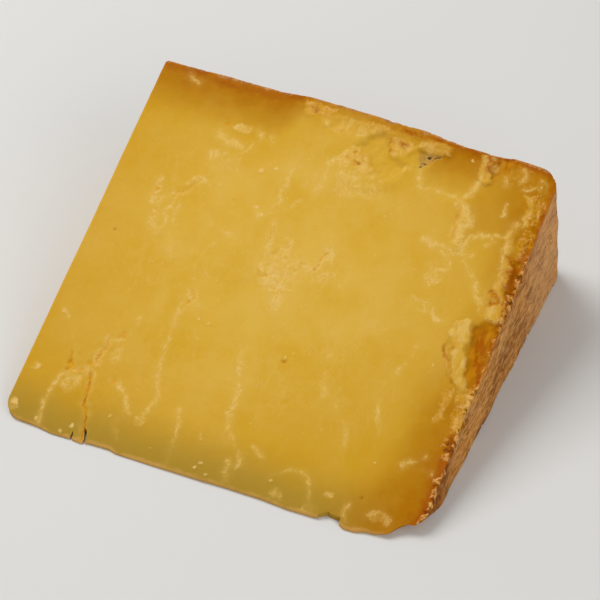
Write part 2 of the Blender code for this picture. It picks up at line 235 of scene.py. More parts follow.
# Pale marbling: each stroke is (strength, half width, route)
PALE_STROKES = (
    (0.35, 0.5, ((4.5, 44.5), (7, 43), (10, 41.5), (12, 37.5), (14, 32.5), (15, 30))),
    (0.60, 0.5, ((15, 23), (13.6, 19), (13, 14), (12.8, 9), (13.6, 4), (14, 1))),
    (0.45, 0.5, ((32.5, 50), (32, 46), (30.5, 42.5), (29, 40))),
    (0.40, 0.6, ((44.5, 60), (45.5, 52), (46, 44), (47, 36), (48, 31), (50, 27.5), (51.5, 24))),
    (0.40, 0.5, ((51, 25), (50, 20), (48.5, 15))),
    (0.60, 0.5, ((33, 25), (36, 23.8), (38, 22.4), (40, 20.5), (41, 18.5), (42, 16), (44, 14.6))),
    (0.45, 0.4, ((42.2, 9), (42.8, 6.6), (43.4, 4.6))),
    (0.55, 0.5, ((71.5, 52), (73.5, 47), (75, 42), (76.5, 38), (78, 34), (78, 30), (78, 26), (79.5, 20.5))),
    (0.35, 0.6, ((79.5, 20.5), (82, 18), (85, 15.5), (88, 12), (88, 8))),
    (0.45, 0.8, ((62.5, 124), (62.5, 116), (63, 110), (64, 105), (65, 99), (66, 94), (66.5, 90))),
    (0.35, 0.7, ((64, 104), (68, 108), (70, 112))),
    (0.50, 0.6, ((66.5, 90), (65.8, 86), (66.6, 82), (69, 80.2), (71, 82), (71.6, 85),
                 (70, 88.5), (67, 89.5))),
    (0.55, 0.5, ((71, 78), (73, 77), (74.6, 79), (75.2, 82), (74.6, 84), (73, 81.5), (71.6, 79.5))),
    (0.75, 0.8, ((75.4, 84), (76, 80), (77, 77), (76, 73), (77.5, 70), (78, 67))),
    (0.40, 0.6, ((72, 96), (74, 94), (73, 90), (74.6, 87))),
    (0.40, 0.5, ((78, 90), (79.5, 86), (80, 80))),
    (0.75, 0.6, ((80, 88), (84, 87), (86, 89), (87.5, 92), (88.6, 96))),
    (0.75, 0.8, ((88, 97), (90, 93), (91, 90), (89.4, 86))),
    (0.40, 0.4, ((86, 86), (86.6, 82))),
    (0.35, 0.5, ((91, 90), (94, 86.4), (97, 84))),
    (0.35, 0.7, ((55, 105), (58, 101.5), (61, 103.5))),
    (0.35, 0.7, ((43, 93), (48, 91.5), (54, 92.5))),
    (0.35, 0.5, ((47, 87), (44.5, 82), (43.5, 77), (45, 71), (47, 67))),
    (0.60, 0.4, ((44.6, 68), (46.2, 64), (47.4, 61), (46.4, 57))),
    (0.50, 0.4, ((47, 67.5), (49.6, 64), (50.4, 61.4))),
    (0.45, 0.5, ((112, 41), (116, 36.5), (119.5, 33), (120, 28))),
    (0.60, 0.4, ((90.5, 17), (93, 15.5), (95, 14.6))),
    (0.40, 0.5, ((60, 22), (62, 17), (63, 10), (63.5, 4), (64, 1))),
    (0.50, 0.4, ((71, 16), (72, 13.5))),
    (0.55, 0.7, ((84, 9), (85.5, 5), (86, 2))),
    (0.45, 0.5, ((100, 9), (103, 11.5), (106, 13.5), (111, 14), (114, 11), (115.4, 8), (116.6, 4))),
    (0.50, 0.5, ((131, 87), (132, 84.5), (134, 82.6), (138, 83.2))),
    (0.45, 0.6, ((122.6, 85), (121.6, 81), (120, 78), (118.6, 74), (116.4, 72))),
    (0.30, 0.8, ((131, 72), (130.4, 68), (130, 65), (128.4, 60))),
    (0.60, 0.6, ((130, 139), (128.8, 136), (127.6, 133), (126, 130), (124.8, 128))),
    (0.55, 0.6, ((127.5, 129), (130, 126), (132.5, 123), (133.5, 121))),
    (0.55, 0.5, ((126, 127), (127, 122.5), (128.4, 117), (129.4, 113))),
    (0.80, 0.5, ((131.6, 111.5), (133, 113.5), (134.4, 116.5), (135.5, 118.2), (138, 118.6), (140, 119.4))),
    (0.60, 0.4, ((140, 119.4), (143, 120.4), (146, 121.2), (147.4, 122))),
    (0.40, 0.5, ((140, 119), (143.4, 118.4), (142.2, 116.4), (140.6, 115.4))),
    (0.70, 0.6, ((133, 113), (132.6, 110), (131, 109), (129, 110.4), (126, 110.6), (122, 110), (118, 111.4))),
    (0.45, 0.5, ((132.6, 110), (135, 110.2), (137, 110.4))),
    (0.60, 0.4, ((126, 108.6), (129, 107.2), (130.6, 105.4), (131.4, 102.8), (130, 101.8), (127, 101.6),
                 (125.4, 101.2), (125, 98), (125.4, 95.6), (127, 94.4))),
    (0.45, 0.5, ((135, 107.6), (139, 103.5), (141.5, 101), (143, 98), (144.5, 95.5), (147, 93.6))),
    (0.50, 0.6, ((148, 127.5), (147, 124.5), (146.6, 121.5), (147.5, 118), (148.4, 112),
                 (149, 106), (149, 101))),
    (0.70, 0.4, ((148.6, 138.4), (150.4, 137), (151.4, 135), (150.6, 133))),
    (0.60, 0.4, ((150.6, 134), (150, 130), (151.4, 128), (150.6, 126.4))),
    (0.50, 0.35, ((153, 137), (154, 134), (154.6, 132.6))),
    (0.55, 0.35, ((142.2, 133), (141.6, 131), (142.8, 129))),
    (0.50, 0.4, ((143, 148.6), (144.8, 147.4), (145, 145.4), (144, 143.6))),
    (0.45, 0.5, ((137.4, 144), (138.6, 142.4), (139.6, 140.6))),
    (0.45, 0.4, ((146, 140.4), (148, 141.6), (149.6, 143))),
    (0.40, 0.6, ((107, 137.4), (109, 133), (110.4, 130), (114, 131.4), (120, 131.4), (125, 129.5))),
    (0.45, 0.8, ((75.5, 131), (75, 127), (75.2, 122), (74.6, 118))),
    (0.50, 0.7, ((85.5, 130), (85.5, 127), (86, 124.5), (89, 124), (90.4, 121))),
    (0.35, 0.7, ((70, 118), (72, 121), (71, 124))),
    (0.35, 0.6, ((30, 84), (32, 80.5), (33, 77))),
    (0.60, 0.6, ((18, 104.6), (18.6, 101), (17.8, 97), (18.6, 94))),
    (0.70, 0.7, ((22.5, 105), (23.6, 102), (25, 101), (22, 98.5), (20.6, 96), (21, 91), (23, 86))),
    (0.60, 0.6, ((25.6, 97), (25, 92), (26.6, 88), (24.6, 84))),
    (0.50, 0.5, ((28.5, 97), (28.4, 92), (29.4, 89))),
    (0.60, 0.6, ((24, 103.4), (28, 106), (31, 109), (33.4, 109.6))),
    (0.50, 0.4, ((31, 121), (37, 122), (42, 123), (44.6, 126.5), (45, 129))),
    (0.60, 0.8, ((31, 129), (34, 127.2), (38, 126.4), (41.5, 126))),
    (0.50, 0.7, ((44, 135), (46.4, 133), (46.8, 131.5))),
    (0.35, 0.6, ((50, 134), (51.6, 131))),
    (0.60, 0.35, ((131.4, 149.8), (133, 147.2), (131.8, 144.4))),
    (0.50, 0.35, ((133.6, 149.6), (134.6, 147.6), (133.2, 145.6))),
    (0.30, 0.6, ((10.5, 149.5), (13, 147.6), (15.5, 146.4))),
    (0.35, 0.5, ((125, 54), (127, 50), (126, 45), (128, 40), (130, 36))),
    (0.35, 0.5, ((103, 58), (103.5, 53), (104.5, 48), (107, 43))),
    (0.60, 0.5, ((137, 6.5), (139.6, 8), (142, 9), (145, 9.2))),
    (0.55, 0.6, ((140.4, 6.6), (144.6, 5.6))),
    (0.55, 0.5, ((129.8, 8), (129.4, 5), (130.6, 2), (133, 1.2), (135.6, 0.8))),
    (0.35, 0.6, ((142, 28), (144, 29.4), (146, 31), (148.4, 33.2))),
    (0.35, 0.4, ((149, 29), (151.4, 28.4), (153.6, 26.8))),
)

# Pale or crumbly areas: each is (strength, softness, outline)
PALE_PATCHES = (
    (0.55, 1.4, ((126.8, 129), (129, 127), (131.6, 124.6), (133, 121.4), (132, 118.6), (131.4, 115),
                 (131.6, 112), (129.6, 113), (129, 117), (128, 122))),
    (0.45, 0.8, ((124.4, 130), (127.6, 130.4), (127.6, 127.4), (125, 127.2))),
    (0.35, 1.4, ((125.4, 101.6), (130.4, 101.6), (130.6, 97), (127.6, 94.6), (125, 98))),
    (0.60, 0.8, ((35, 133), (37, 135.2), (42, 135.4), (44.2, 134), (42, 132.4), (37, 132.2))),
    (0.40, 2.4, ((68, 76), (66, 84), (71, 93), (76, 90), (78, 84), (79, 70), (75, 70), (74, 75))),
    (0.40, 1.6, ((122.6, 84), (122.6, 89), (130.6, 88.4), (131, 85), (128, 84))),
    (0.45, 1.6, ((77, 133), (79, 136), (83, 138.6), (87, 136.5), (89, 133), (92, 130.5), (96, 129), (99, 131),
                 (96, 127.5), (90, 127), (88, 129), (86, 131), (82, 131), (80, 129), (76, 131.5))),
    (0.30, 3.0, ((80, 120), (79, 128), (86, 131), (90, 126), (96, 127), (98, 121), (90, 117))),
    (0.35, 1.2, ((103, 2), (102, 4), (104.5, 5.6), (107, 3.4), (106.6, 2))),
    (0.65, 0.9, ((136.6, 6.2), (139, 8.8), (141.6, 9.8), (144.8, 9.4), (145.8, 7.2), (143.4, 5.8), (141, 5.2),
                 (138, 5.4))),
    (0.55, 1.0, ((115, 0.4), (115.6, 3.6), (118.6, 4.4), (121, 2.6), (120, 0.6))),
    (0.60, 0.6, ((120.6, 10), (120.8, 8.4), (123.4, 8.6), (123.4, 10.2))),
    (0.75, 0.6, ((46, 14), (47.4, 12.4), (49.6, 11.2), (50.6, 14.2), (48.8, 15.8))),
    (0.35, 1.6, ((28.5, 37), (31.5, 38), (32.5, 33), (31, 30), (29, 31.5))),
    (0.35, 1.6, ((15.5, 22), (22, 23), (23, 18), (19, 15), (16, 17))),
    (0.40, 0.8, ((3, 20), (5.5, 20), (5.6, 22.4), (3.4, 22.8))),
    (0.50, 1.2, ((1, 8), (3, 7), (4.5, 4), (3, 3), (1.6, 4.6))),
    (0.35, 2.0, ((30, 115), (31, 121), (43, 122), (44, 117), (35, 114))),
)

# Crumbly pale flakes of the torn border and of the back
FLAKE_PATCHES = (
    (0.80, 0.7, LONG_TONGUE),
    (0.75, 0.7, ((149.4, 113.4), (150.6, 112), (152.4, 108), (153.4, 104.6), (153.6, 100.5), (152, 102),
                 (150.4, 98.6), (149, 100), (148.6, 106))),
    (0.80, 0.7, ((149.2, 93.2), (150.6, 94), (152.6, 95.6), (154, 94.4), (154.8, 90.6), (155.6, 87.6),
                 (151, 87.8), (149, 89.6))),
    (0.45, 1.0, ((144.6, 95), (147.4, 97), (149, 93), (149, 88), (147, 88.6))),
    (0.60, 0.8, ((150, 59.6), (153, 60.4), (156.4, 58.6), (157.2, 53), (156, 50), (157, 45), (155, 44),
                 (152.8, 46.6), (153.4, 51), (155, 54), (153, 57))),
    (0.40, 0.8, ((146, 58), (147, 54), (146.4, 46), (147.6, 46.4), (148.6, 52), (149.4, 59))),
    (0.45, 1.4, ((64, 150), (72, 149.6), (80, 149.5), (88, 150.5), (91, 149.5), (88, 146.6), (84, 145.5),
                 (81, 144), (76, 142.8), (72, 142.6), (68, 143.8), (65, 146))),
    (0.80, 0.5, ((66, 146.6), (69, 144.8), (72, 144), (77, 144.2), (81, 144), (84, 146), (84.4, 145),
                 (81, 142.8), (77, 142.4), (72, 142.2), (69, 143), (66, 145))),
    (0.70, 0.8, ((57.6, 151.6), (58, 147.4), (61, 146.4), (64.6, 147), (66, 150), (62, 151.8))),
    (0.70, 0.8, ((92, 147), (94.4, 142.6), (94, 140.4), (97, 139.8), (99, 140.6), (101, 142.5), (104, 146.4),
                 (100, 146), (96, 146.4))),
    (0.60, 1.0, ((104, 148), (112, 149.6), (116, 148.6), (115.5, 146), (112, 144.4),
                 (108, 144.4), (104, 146))),
    (0.65, 0.7, ((104, 138), (102, 137.2), (100, 134.8), (98.4, 132.4), (97, 130.4), (98, 129.6), (100, 132),
                 (102.6, 135), (105, 136.4))),
    (0.60, 0.8, ((84, 138.4), (88, 136), (90, 133), (93, 130.4), (90, 128.6), (87.6, 131), (86, 134.4))),
    (0.80, 0.5, ((127.2, 149.8), (127.8, 144), (129, 140), (131.4, 138.4), (133.8, 139.6), (133.4, 142.6),
                 (131.8, 142.2), (130.4, 141.4), (129.4, 145), (129.6, 149.8))),
    (0.70, 0.5, ((147, 138.6), (149.4, 138.4), (150.4, 136.6), (151.4, 137.2), (151, 134), (149.6, 135))),
    (0.50, 0.7, ((149.6, 133.4), (151.4, 133.4), (152, 127.6), (150, 128.4))),
    (0.35, 1.0, ((147, 127), (149.6, 127), (150, 115), (148, 115), (146.6, 121))),
    (0.30, 1.0, ((150, 147), (153, 145.4), (154, 142), (152, 140.4), (149.6, 143))),
)

# Broken, pitted cheese flecked with pale crumbs: (strength, softness, outline)
FRETTED_PATCHES = (
    (0.70, 1.4, ((57, 152), (58, 147), (64, 145.6), (68, 149), (72, 152))),
    (0.60, 1.2, ((91.6, 147), (93.6, 142), (97, 139.6), (101, 142.4), (104, 146), (99, 147))),
    (0.65, 1.0, ((79, 133.6), (83, 138.4), (87, 136.4), (88, 132.6), (84, 130.6))),
    (0.55, 1.2, ((84, 146), (88, 148.4), (92, 147), (95, 150), (84, 150.6), (78, 148.6))),
    (0.45, 1.6, ((103, 146.4), (112, 149.6), (116.5, 149.6), (116, 145.6), (111, 144.6))),
    (0.35, 1.6, ((137, 145), (141, 149.6), (147, 149.6), (150, 146.6), (148, 142), (142, 139.6))),
    (0.60, 1.2, ((149, 139), (153, 141), (155.6, 138), (155.6, 130), (151.6, 126.6), (150, 131))),
    (0.60, 1.2, ((152, 126), (156, 126), (156.4, 112), (152.6, 113.6), (150.6, 119))),
    (0.75, 0.8, ((154, 113), (157.6, 112), (157, 106), (155.6, 107.6))),
    (0.70, 0.9, ((153.4, 88), (156.6, 88), (157, 95), (155.6, 98), (154, 94))),
    (0.75, 1.0, ((154, 60), (158.4, 60), (158.6, 80), (156.4, 80), (156, 70), (154.6, 64.6))),
    (0.60, 1.2, ((150.6, 58), (156.6, 59), (157.6, 44), (153, 43), (151.6, 50))),
    (0.50, 1.4, ((145.4, 59), (149, 60), (149.4, 47), (145.6, 45.6))),
)

# Torn cheese with a crumbly surface: (strength, softness, outline)
ROUGH_PATCHES = (
    (1.0, 1.5, ((78, 133), (80, 141), (88, 149), (98, 147), (106, 139), (103, 135), (98, 130), (90, 127))),
    (0.8, 1.5, ((56, 152), (57, 145), (68, 142), (82, 142), (90, 150), (70, 152))),
    (0.8, 1.0, ((92, 148), (96, 140), (104, 145), (116, 148), (112, 151), (95, 151))),
    (0.7, 1.2, ((126, 131), (134, 122), (133, 108), (124, 109), (126, 118))),
    (0.7, 1.5, ((145, 139), (155, 142), (157, 128), (149, 126))),
    (0.5, 2.5, ((66, 92), (72, 96), (80, 90), (80, 76), (70, 74), (65, 82))),
    (0.6, 1.5, ((13, 30), (13, 16), (24, 16), (31, 8), (34, 26), (26, 42))),
)

# Amber beside the rinds, partly the drier cheese's own colour and partly painted shade where the cut's light
# falls off towards the rinds: (place along the rind, strength, width)
BACK_AMBER = (
    (0, 0.95, 23), (52, 1.0, 22), (59, 0.6, 12), (80, 0.5, 8), (104, 0.6, 10), (112, 0.9, 20), (130, 0.9, 20),
    (136, 0.75, 20), (156, 0.8, 20),
)
END_AMBER = (
    (0, 0.95, 40), (12, 1.0, 34), (25, 1.0, 25), (40, 1.0, 22), (55, 0.7, 24), (70, 0.35, 22), (95, 0.5, 14),
    (120, 0.9, 18), (135, 0.8, 34), (150, 0.9, 34),
)

# Amber areas away from the rinds: (strength, softness, outline)
AMBER_PATCHES = (
    (0.70, 3.0, ((131.5, 144.5), (134, 142.5), (139, 146), (138, 152), (133.5, 152))),
    (0.35, 9.0, ((130, 118), (130, 136), (146, 138), (148, 121))),
)

# Redder shading right beside the rinds: (place along the rind, strength, width)
BACK_TOAST = (
    (0, 0.6, 4), (14, 0.8, 5), (30, 1.0, 6), (54, 1.0, 4), (60, 0.3, 2), (100, 0.3, 2),
    (112, 0.8, 4), (140, 0.9, 4),
    (156, 0.7, 4),
)
END_TOAST = (
    (0, 0.9, 5), (12, 1.0, 5), (40, 1.0, 4), (46, 0.4, 3), (64, 0.6, 3), (90, 0.9, 3), (106, 0.9, 3.5),
    (116, 0.5, 3), (150, 0.6, 3),
)

# Cheese torn open beside the rinds: (strength, softness, outline)
TORN_PATCHES = (
    (0.85, 1.2, ((147.4, 84), (150, 87.8), (155, 87.2), (158, 86), (158.2, 61.6), (155.6, 60), (153, 61.5),
                 (151, 65), (149.6, 70), (148.6, 77))),
    (0.85, 0.9, ((152.4, 114), (153.8, 106), (152.8, 102), (155.4, 97), (156, 91), (157.4, 86.6), (158.4, 88),
                 (158, 95), (157.4, 100), (157.6, 106), (158, 113), (156, 119))),
    (0.75, 1.6, ((155, 114), (158, 114), (158, 148), (155.8, 148), (155.4, 138), (155.8, 128))),
    (0.55, 1.5, ((155.6, 42), (157.4, 42), (157, 14), (155, 14))),
    (0.55, 1.4, ((82, 150), (100, 149), (101, 151), (84, 152))),
    (0.75, 1.4, ((132.6, 152), (133, 147), (135.6, 145.6), (139.6, 148.6), (143.6, 149.6), (144, 152))),
    (0.40, 2.0, ((18, 150), (18, 154), (52, 154), (52, 150))),
    (0.55, 0.9, ((56, 153), (58, 149), (64, 149.6), (71, 152.6))),
    (0.50, 0.8, ((93, 147), (95, 144.6), (96, 145.6), (94, 147.4))),
    (0.50, 0.8, ((97, 145.6), (98.4, 144), (99.4, 145), (98, 146))),
    (0.50, 0.8, ((106.4, 151.6), (107, 148), (108.8, 148), (108.6, 151.6))),
    (0.45, 0.8, ((110.4, 151), (111, 148.4), (113, 149), (112.6, 151))),
    (0.35, 1.2, ((154, 141), (157, 141), (157, 133), (154.6, 136))),
)

# Brown lines in the torn cheese: (strength, half width, route)
BURNT_STROKES = (
    (0.4, 0.7, ((147.4, 84.6), (148.4, 82.4), (149, 80.6))),
    (0.3, 0.6, ((151.5, 87.6), (155, 86.4), (157.6, 84))),
    (1.4, 0.8, ((151, 84), (152, 80.4), (153.4, 77), (154, 73), (155, 69.4), (156, 66), (156.2, 63))),
    (1.3, 0.7, ((155.4, 84), (156, 79), (157.4, 75), (157, 69))),
    (1.0, 0.5, ((150.6, 80), (151.4, 76), (152.6, 71.4))),
    (1.4, 0.8, ((156.4, 119), (155.4, 113), (155, 108.4), (156.4, 104.4))),
    (1.5, 0.9, ((152.6, 107.6), (154, 103.6), (155.6, 100.6), (156.4, 97), (157.4, 93.4), (158, 89))),
    (1.2, 0.5, ((148.6, 99), (150.4, 97.4), (152.4, 96), (150, 94.6))),
    (1.2, 0.5, ((150.4, 113.4), (152.4, 110.4), (153.8, 106.6))),
    (1.1, 0.6, ((156.6, 147), (156.6, 140), (156.8, 134), (156.4, 127), (156.6, 120))),
    (1.1, 0.6, ((132.4, 148), (133.6, 150.4), (138, 151), (143, 150.6), (148, 150.6))),
    (1.2, 0.6, ((156.2, 51.4), (157.2, 49), (157.6, 46.4))),
    (0.8, 0.5, ((140.4, 73.6), (141.6, 71.6), (142.8, 70))),
    (1.2, 0.9, ((156.4, 43), (156.8, 36), (156, 28), (156.2, 20), (155.4, 13))),
    (1.4, 0.9, ((152.6, 9.4), (154.6, 10.4), (156.2, 12.8), (157, 15.4))),
    (0.9, 0.6, ((96, 150.6), (101, 150), (106, 150.4), (110, 151))),
    (0.8, 0.4, ((92.2, 146), (93.2, 145), (94, 142.4), (94.4, 140.8))),
    (0.9, 0.4, ((96.6, 145.6), (98, 144.6), (99.6, 144.8))),
    (0.7, 0.5, ((60, 149.6), (62.6, 148.2), (61.4, 151))),
    (0.9, 0.5, ((130.8, 148.8), (130.6, 145.4), (132.2, 143.6))),
)

# The mould spot: its area, and its dark dots as (across, inward, radius)
MOULD_PATCHES = (
    (0.85, 0.9, ((105, 143.6), (105.6, 140), (106.4, 137.6), (108.6, 139), (110.6, 142),
                 (113, 144.2), (109, 144.6))),
)
MOULD_DOTS = (
    (108.8, 143, 0.7), (109.9, 142.1, 0.6), (108.2, 140.4, 0.5), (111.4, 143.9, 0.5), (106.7, 138.5, 0.4),
    (107.7, 141.8, 0.5), (110.7, 143.4, 0.4), (106.3, 142.7, 0.4), (107, 140.2, 0.35),
)

# Small specks: (across, inward, radius)
PALE_SPECKS = (
    (88.2, 52.6, 0.63), (83.1, 63.7, 0.42), (110, 64.8, 0.39), (139, 66, 0.42), (80.3, 76.8, 0.42),
    (90.3, 80, 0.35), (47.7, 104.8, 0.35), (132.6, 25.8, 0.45), (148.5, 33.3, 0.4),
    (98, 24.5, 0.35), (99.2, 23.3, 0.35), (56.6, 4.6, 0.35), (110.5, 30.5, 0.35),
    (53, 56.4, 0.63), (57, 55.8, 0.63), (4.8, 44.2, 0.98), (5, 21, 1.05),
    (58.6, 102, 0.91), (62, 104.2, 0.56),
    (56, 104.6, 0.84), (52, 119, 0.98), (57, 121.6, 0.7), (91, 54.4, 0.42), (37.4, 11.8, 0.56),
    (75.2, 5.4, 0.7), (73.8, 3.4, 0.56), (78.2, 2.4, 0.56), (151.8, 143, 0.42),
    (124.8, 146.6, 0.42), (3, 6, 1.12), (12.6, 2.6, 0.7), (23.4, 1.2, 0.7), (26, 4, 0.98), (100.8, 7.2, 0.56),
    (154.8, 64.4, 0.4), (156.6, 62.8, 0.4), (155.6, 61.8, 0.35), (154, 61.4, 0.35), (151, 146, 0.4),
    (157.4, 111, 0.7), (157.2, 101.6, 0.63), (158.4, 73.2, 0.63), (156.4, 63.6, 0.63), (157, 61.8, 0.56),
    (154.6, 74.6, 0.42), (158, 92, 0.49), (158.2, 83, 0.42), (157.4, 33, 0.84),
    (158, 23, 0.98), (156.6, 17, 0.91),
)
DARK_SPECKS = (
    (88.5, 51.3, 0.6), (132.8, 11.8, 0.55), (84.8, 132.6, 0.7), (82, 137.2, 0.6),
    (9.6, 80.4, 0.5), (97.6, 145, 0.6), (156.6, 133.6, 0.8),
    (159, 31, 0.9), (158.6, 21, 0.8), (157.6, 41.6, 0.5), (157, 15, 0.9), (160.6, 66.4, 0.7),
)

# Small golden holes beside the cracks: (across, inward, radius)
GOLDEN_HOLES = (
    (33.4, 24.8, 0.9), (16, 26.6, 0.9), (22.6, 28.4, 0.9), (18.5, 100.6, 0.8), (85.5, 87.6, 0.7),
    (70, 80.2, 0.6), (46.6, 61.4, 0.6), (32.8, 133.8, 0.8), (47.6, 104.8, 0.5),
)

# Camera: its distance, angles and slight tilt, from a point on the floor under the wedge
AIM = Vector((-5.1 * MM, 19.9 * MM, 0.0))
CAMERA_AZIMUTH = radians(22.33)
CAMERA_ELEVATION = radians(44.43)
CAMERA_ROLL = radians(0.93)
CAMERA_DISTANCE = 965.1 * MM
CAMERA_LENS = 156.0
SENSOR_WIDTH = 36.0
CAMERA_CLIP = 10.0 * MM

# Floor and light; each lamp is (name, place, size, power)
FLOOR_SIZE = 6.0
FLOOR_DROP = 0.2 * MM
LAMPS = (
    ("key", (-0.75, 0.25, 1.1), 0.8, 13.0),
    ("fill", (1.0, -0.7, 0.7), 1.2, 8.0),
)
SKY_STRENGTH = 0.36


def eased(share):
    """0 below 0, 1 above 1, and a smooth rise between."""
    share = np.clip(share, 0.0, 1.0)
    return share * share * (3.0 - 2.0 * share)


def along(edge, across):
    """The height of an edge's outline at each place across, in metres."""
    places, heights = np.array(edge, float).T * MM
    return np.interp(across, places, heights)


def distance_to_route(across, inward, route):
    """How far each place is from a broken line of points in millimetres."""
    corners = np.array(route, float) * MM
    nearest = np.full(across.shape, np.inf)
    for start, end in zip(corners[:-1], corners[1:]):
        run = end - start
        share = ((across - start[0]) * run[0] + (inward - start[1]) * run[1]) / run.dot(run)
        share = np.clip(share, 0.0, 1.0)
        gap = np.hypot(across - start[0] - share * run[0], inward - start[1] - share * run[1])
        nearest = np.minimum(nearest, gap)
    return nearest


def depth_inside(across, inward, outline):
    """How far inside a closed outline each place is, and less than nothing outside it."""
    corners = np.array(outline, float) * MM
    inside = np.zeros(across.shape, bool)
    for start, end in zip(corners, np.roll(corners, -1, axis=0)):
        spans = (start[1] > inward) != (end[1] > inward)
        rise = end[1] - start[1] or MM * MM
        crossing = start[0] + (inward - start[1]) / rise * (end[0] - start[0])
        inside ^= spans & (across < crossing)
    gap = distance_to_route(across, inward, tuple(outline) + (outline[0],))
    return np.where(inside, gap, -gap)


def noise_at(points):
    """Plain noise about 0 at each point."""
    return np.array([noise.noise(Vector(point)) for point in points])


def rough_at(first, second, third, length, octaves=3):
    """Fractal noise about 0 over three coordinates, with its largest lumps this long."""
    points = np.stack([first, second, third], axis=1) / length
    return np.array([noise.fractal(Vector(point), 0.8, 2.1, octaves) for point in points])


def round_corner(across, inward, centre, side, radius):
    """Pulls what lies in one corner of the outline onto an arc about the centre."""
    past_x = (across - centre[0]) * side[0]
    past_y = (inward - centre[1]) * side[1]
    corner = (past_x > 0) & (past_y > 0)
    reach = np.maximum(past_x, past_y)
    length = np.maximum(np.hypot(past_x, past_y), radius * 1e-6)
    shrink = np.where(corner, reach / length, 1.0)
    return (
        np.where(corner, centre[0] + side[0] * past_x * shrink, across),
        np.where(corner, centre[1] + side[1] * past_y * shrink, inward),
    )


def outline_places(across_share, inward_share):
    """Places on the cut for shares of its length and depth, with the wedge's real outline."""
    across = across_share * AXIAL_LENGTH
    inward = inward_share * DEPTH
    for side, radius in ROUND_CORNERS:
        centre = (
            radius if side[0] < 0 else AXIAL_LENGTH - radius,
            radius if side[1] < 0 else DEPTH - radius,
        )
        across, inward = round_corner(across, inward, centre, side, radius)
    near_tip = np.clip(1.0 - inward / EDGE_REACH, 0.0, 1.0)
    near_rind = np.clip(1.0 - (DEPTH - inward) / EDGE_REACH, 0.0, 1.0)
    shift = along(TIP_EDGE, across) * near_tip + (along(RIND_EDGE, across) - DEPTH) * near_rind
    return across, inward + shift


def wandering(across, inward):
    """The same places moved a little by noise, so that no drawn line runs straight."""
    still = np.zeros(across.shape)
    sway_x = rough_at(across, inward, still, 3.5 * MM, 4) * 0.9 * MM
    sway_y = rough_at(across, inward, still + 90.0 * MM, 3.5 * MM, 4) * 0.9 * MM
    return across + sway_x, inward + sway_y


def strokes(across, inward, table):
    """The strongest of several soft strokes at each place."""
    total = np.zeros(across.shape)
    for strength, half_width, route in table:
        gap = distance_to_route(across, inward, route)
        core = np.exp(-((gap / (half_width * MM)) ** 2))
        halo = np.exp(-((gap / (3.2 * half_width * MM)) ** 2))
        total = np.maximum(total, strength * (0.6 * core + 0.4 * halo))
    return total


def patches(across, inward, table):
    """The strongest of several soft-edged areas at each place."""
    total = np.zeros(across.shape)
    for strength, softness, outline in table:
        inside = depth_inside(across, inward, outline)
        total = np.maximum(total, strength * eased(inside / (softness * MM) + 0.6))
    return total


def specks(across, inward, table):
    """The strongest of several round specks at each place."""
    total = np.zeros(across.shape)
    for x, y, radius in table:
        gap = np.hypot(across - x * MM, inward - y * MM)
        total = np.maximum(total, np.exp(-((gap / (radius * MM)) ** 4)))
    return total


def beside(table, place, gap):
    """Shading that fades away from a rind, with its own strength and width along it."""
    places, strengths, widths = np.array(table, float).T
    width = np.interp(place / MM, places, widths) * MM
    return np.interp(place / MM, places, strengths) * eased(1.1 - gap / width)


def crack_depth(across, inward):
    """How far the open cracks sink at each place, in metres."""
    total = np.zeros(across.shape)
    for half_width, depth, route in OPEN_CRACKS:
        gap = distance_to_route(across, inward, route)
        total = np.maximum(total, depth * MM * np.exp(-((gap / (half_width * MM)) ** 2)))
    return total


def crumbliness(across, inward):
    """How crumbly the cut is beside the end rind."""
    places, strengths = np.array(BORDER_CRUMBS, float).T
    width = BORDER_WIDTH * (0.7 + 1.1 * rough_at(across, inward, np.full(across.shape, 0.2), 9.0 * MM, 3))
    near = eased(1.2 - (AXIAL_LENGTH - across) / np.maximum(width, 0.3 * MM))
    return near * np.interp(inward / MM, places, strengths)


def grain_at(across, inward):
    """The lumps of crumbly cheese, about 0."""
    return rough_at(across, inward, np.zeros(across.shape), 2.6 * MM, 4)


def cut_relief(across, inward):
    """How far the upper cut stands above its plane: the solid's relief and its finer grain."""
    still = np.full(across.shape, 2.5)
    swell = noise_at(np.stack([across, inward, still * CUT_SWELL_LENGTH], axis=1) / CUT_SWELL_LENGTH)
    height = CUT_SWELL * swell
    x, y = wandering(across, inward)
    for tear in HOLLOW_TEARS:
        inside = depth_inside(x, y, tear["outline"])
        height -= tear["depth"] * MM * eased(inside / (tear["slope"] * MM) + 0.3)
    for flake in RAISED_FLAKES:
        inside = depth_inside(x, y, flake["outline"])
        height += flake["height"] * MM * eased(inside / (flake["slope"] * MM) + 0.4)
    height -= CRACK_SHARE * crack_depth(x, y)
    still = np.zeros(across.shape)
    grain = grain_at(across, inward)
    flaky = np.maximum(patches(x, y, FLAKE_PATCHES), 0.5 * patches(x, y, TORN_PATCHES))
    height += flaky * FLAKE_GRAIN * grain
    height += patches(x, y, ROUGH_PATCHES) * ROUGH_GRAIN * grain
    height += crumbliness(x, y) * CRUMB_GRAIN * grain
    height += strokes(x, y, PALE_STROKES) * (VEIN_RISE + VEIN_GRAIN * grain)
    height += PLAIN_GRAIN * rough_at(across, inward, still + 30 * MM, 7.0 * MM, 4)
    height -= DARK_SPECK_DEPTH * specks(x, y, DARK_SPECKS + GOLDEN_HOLES)
    height += PALE_SPECK_HEIGHT * specks(x, y, PALE_SPECKS)
    return height


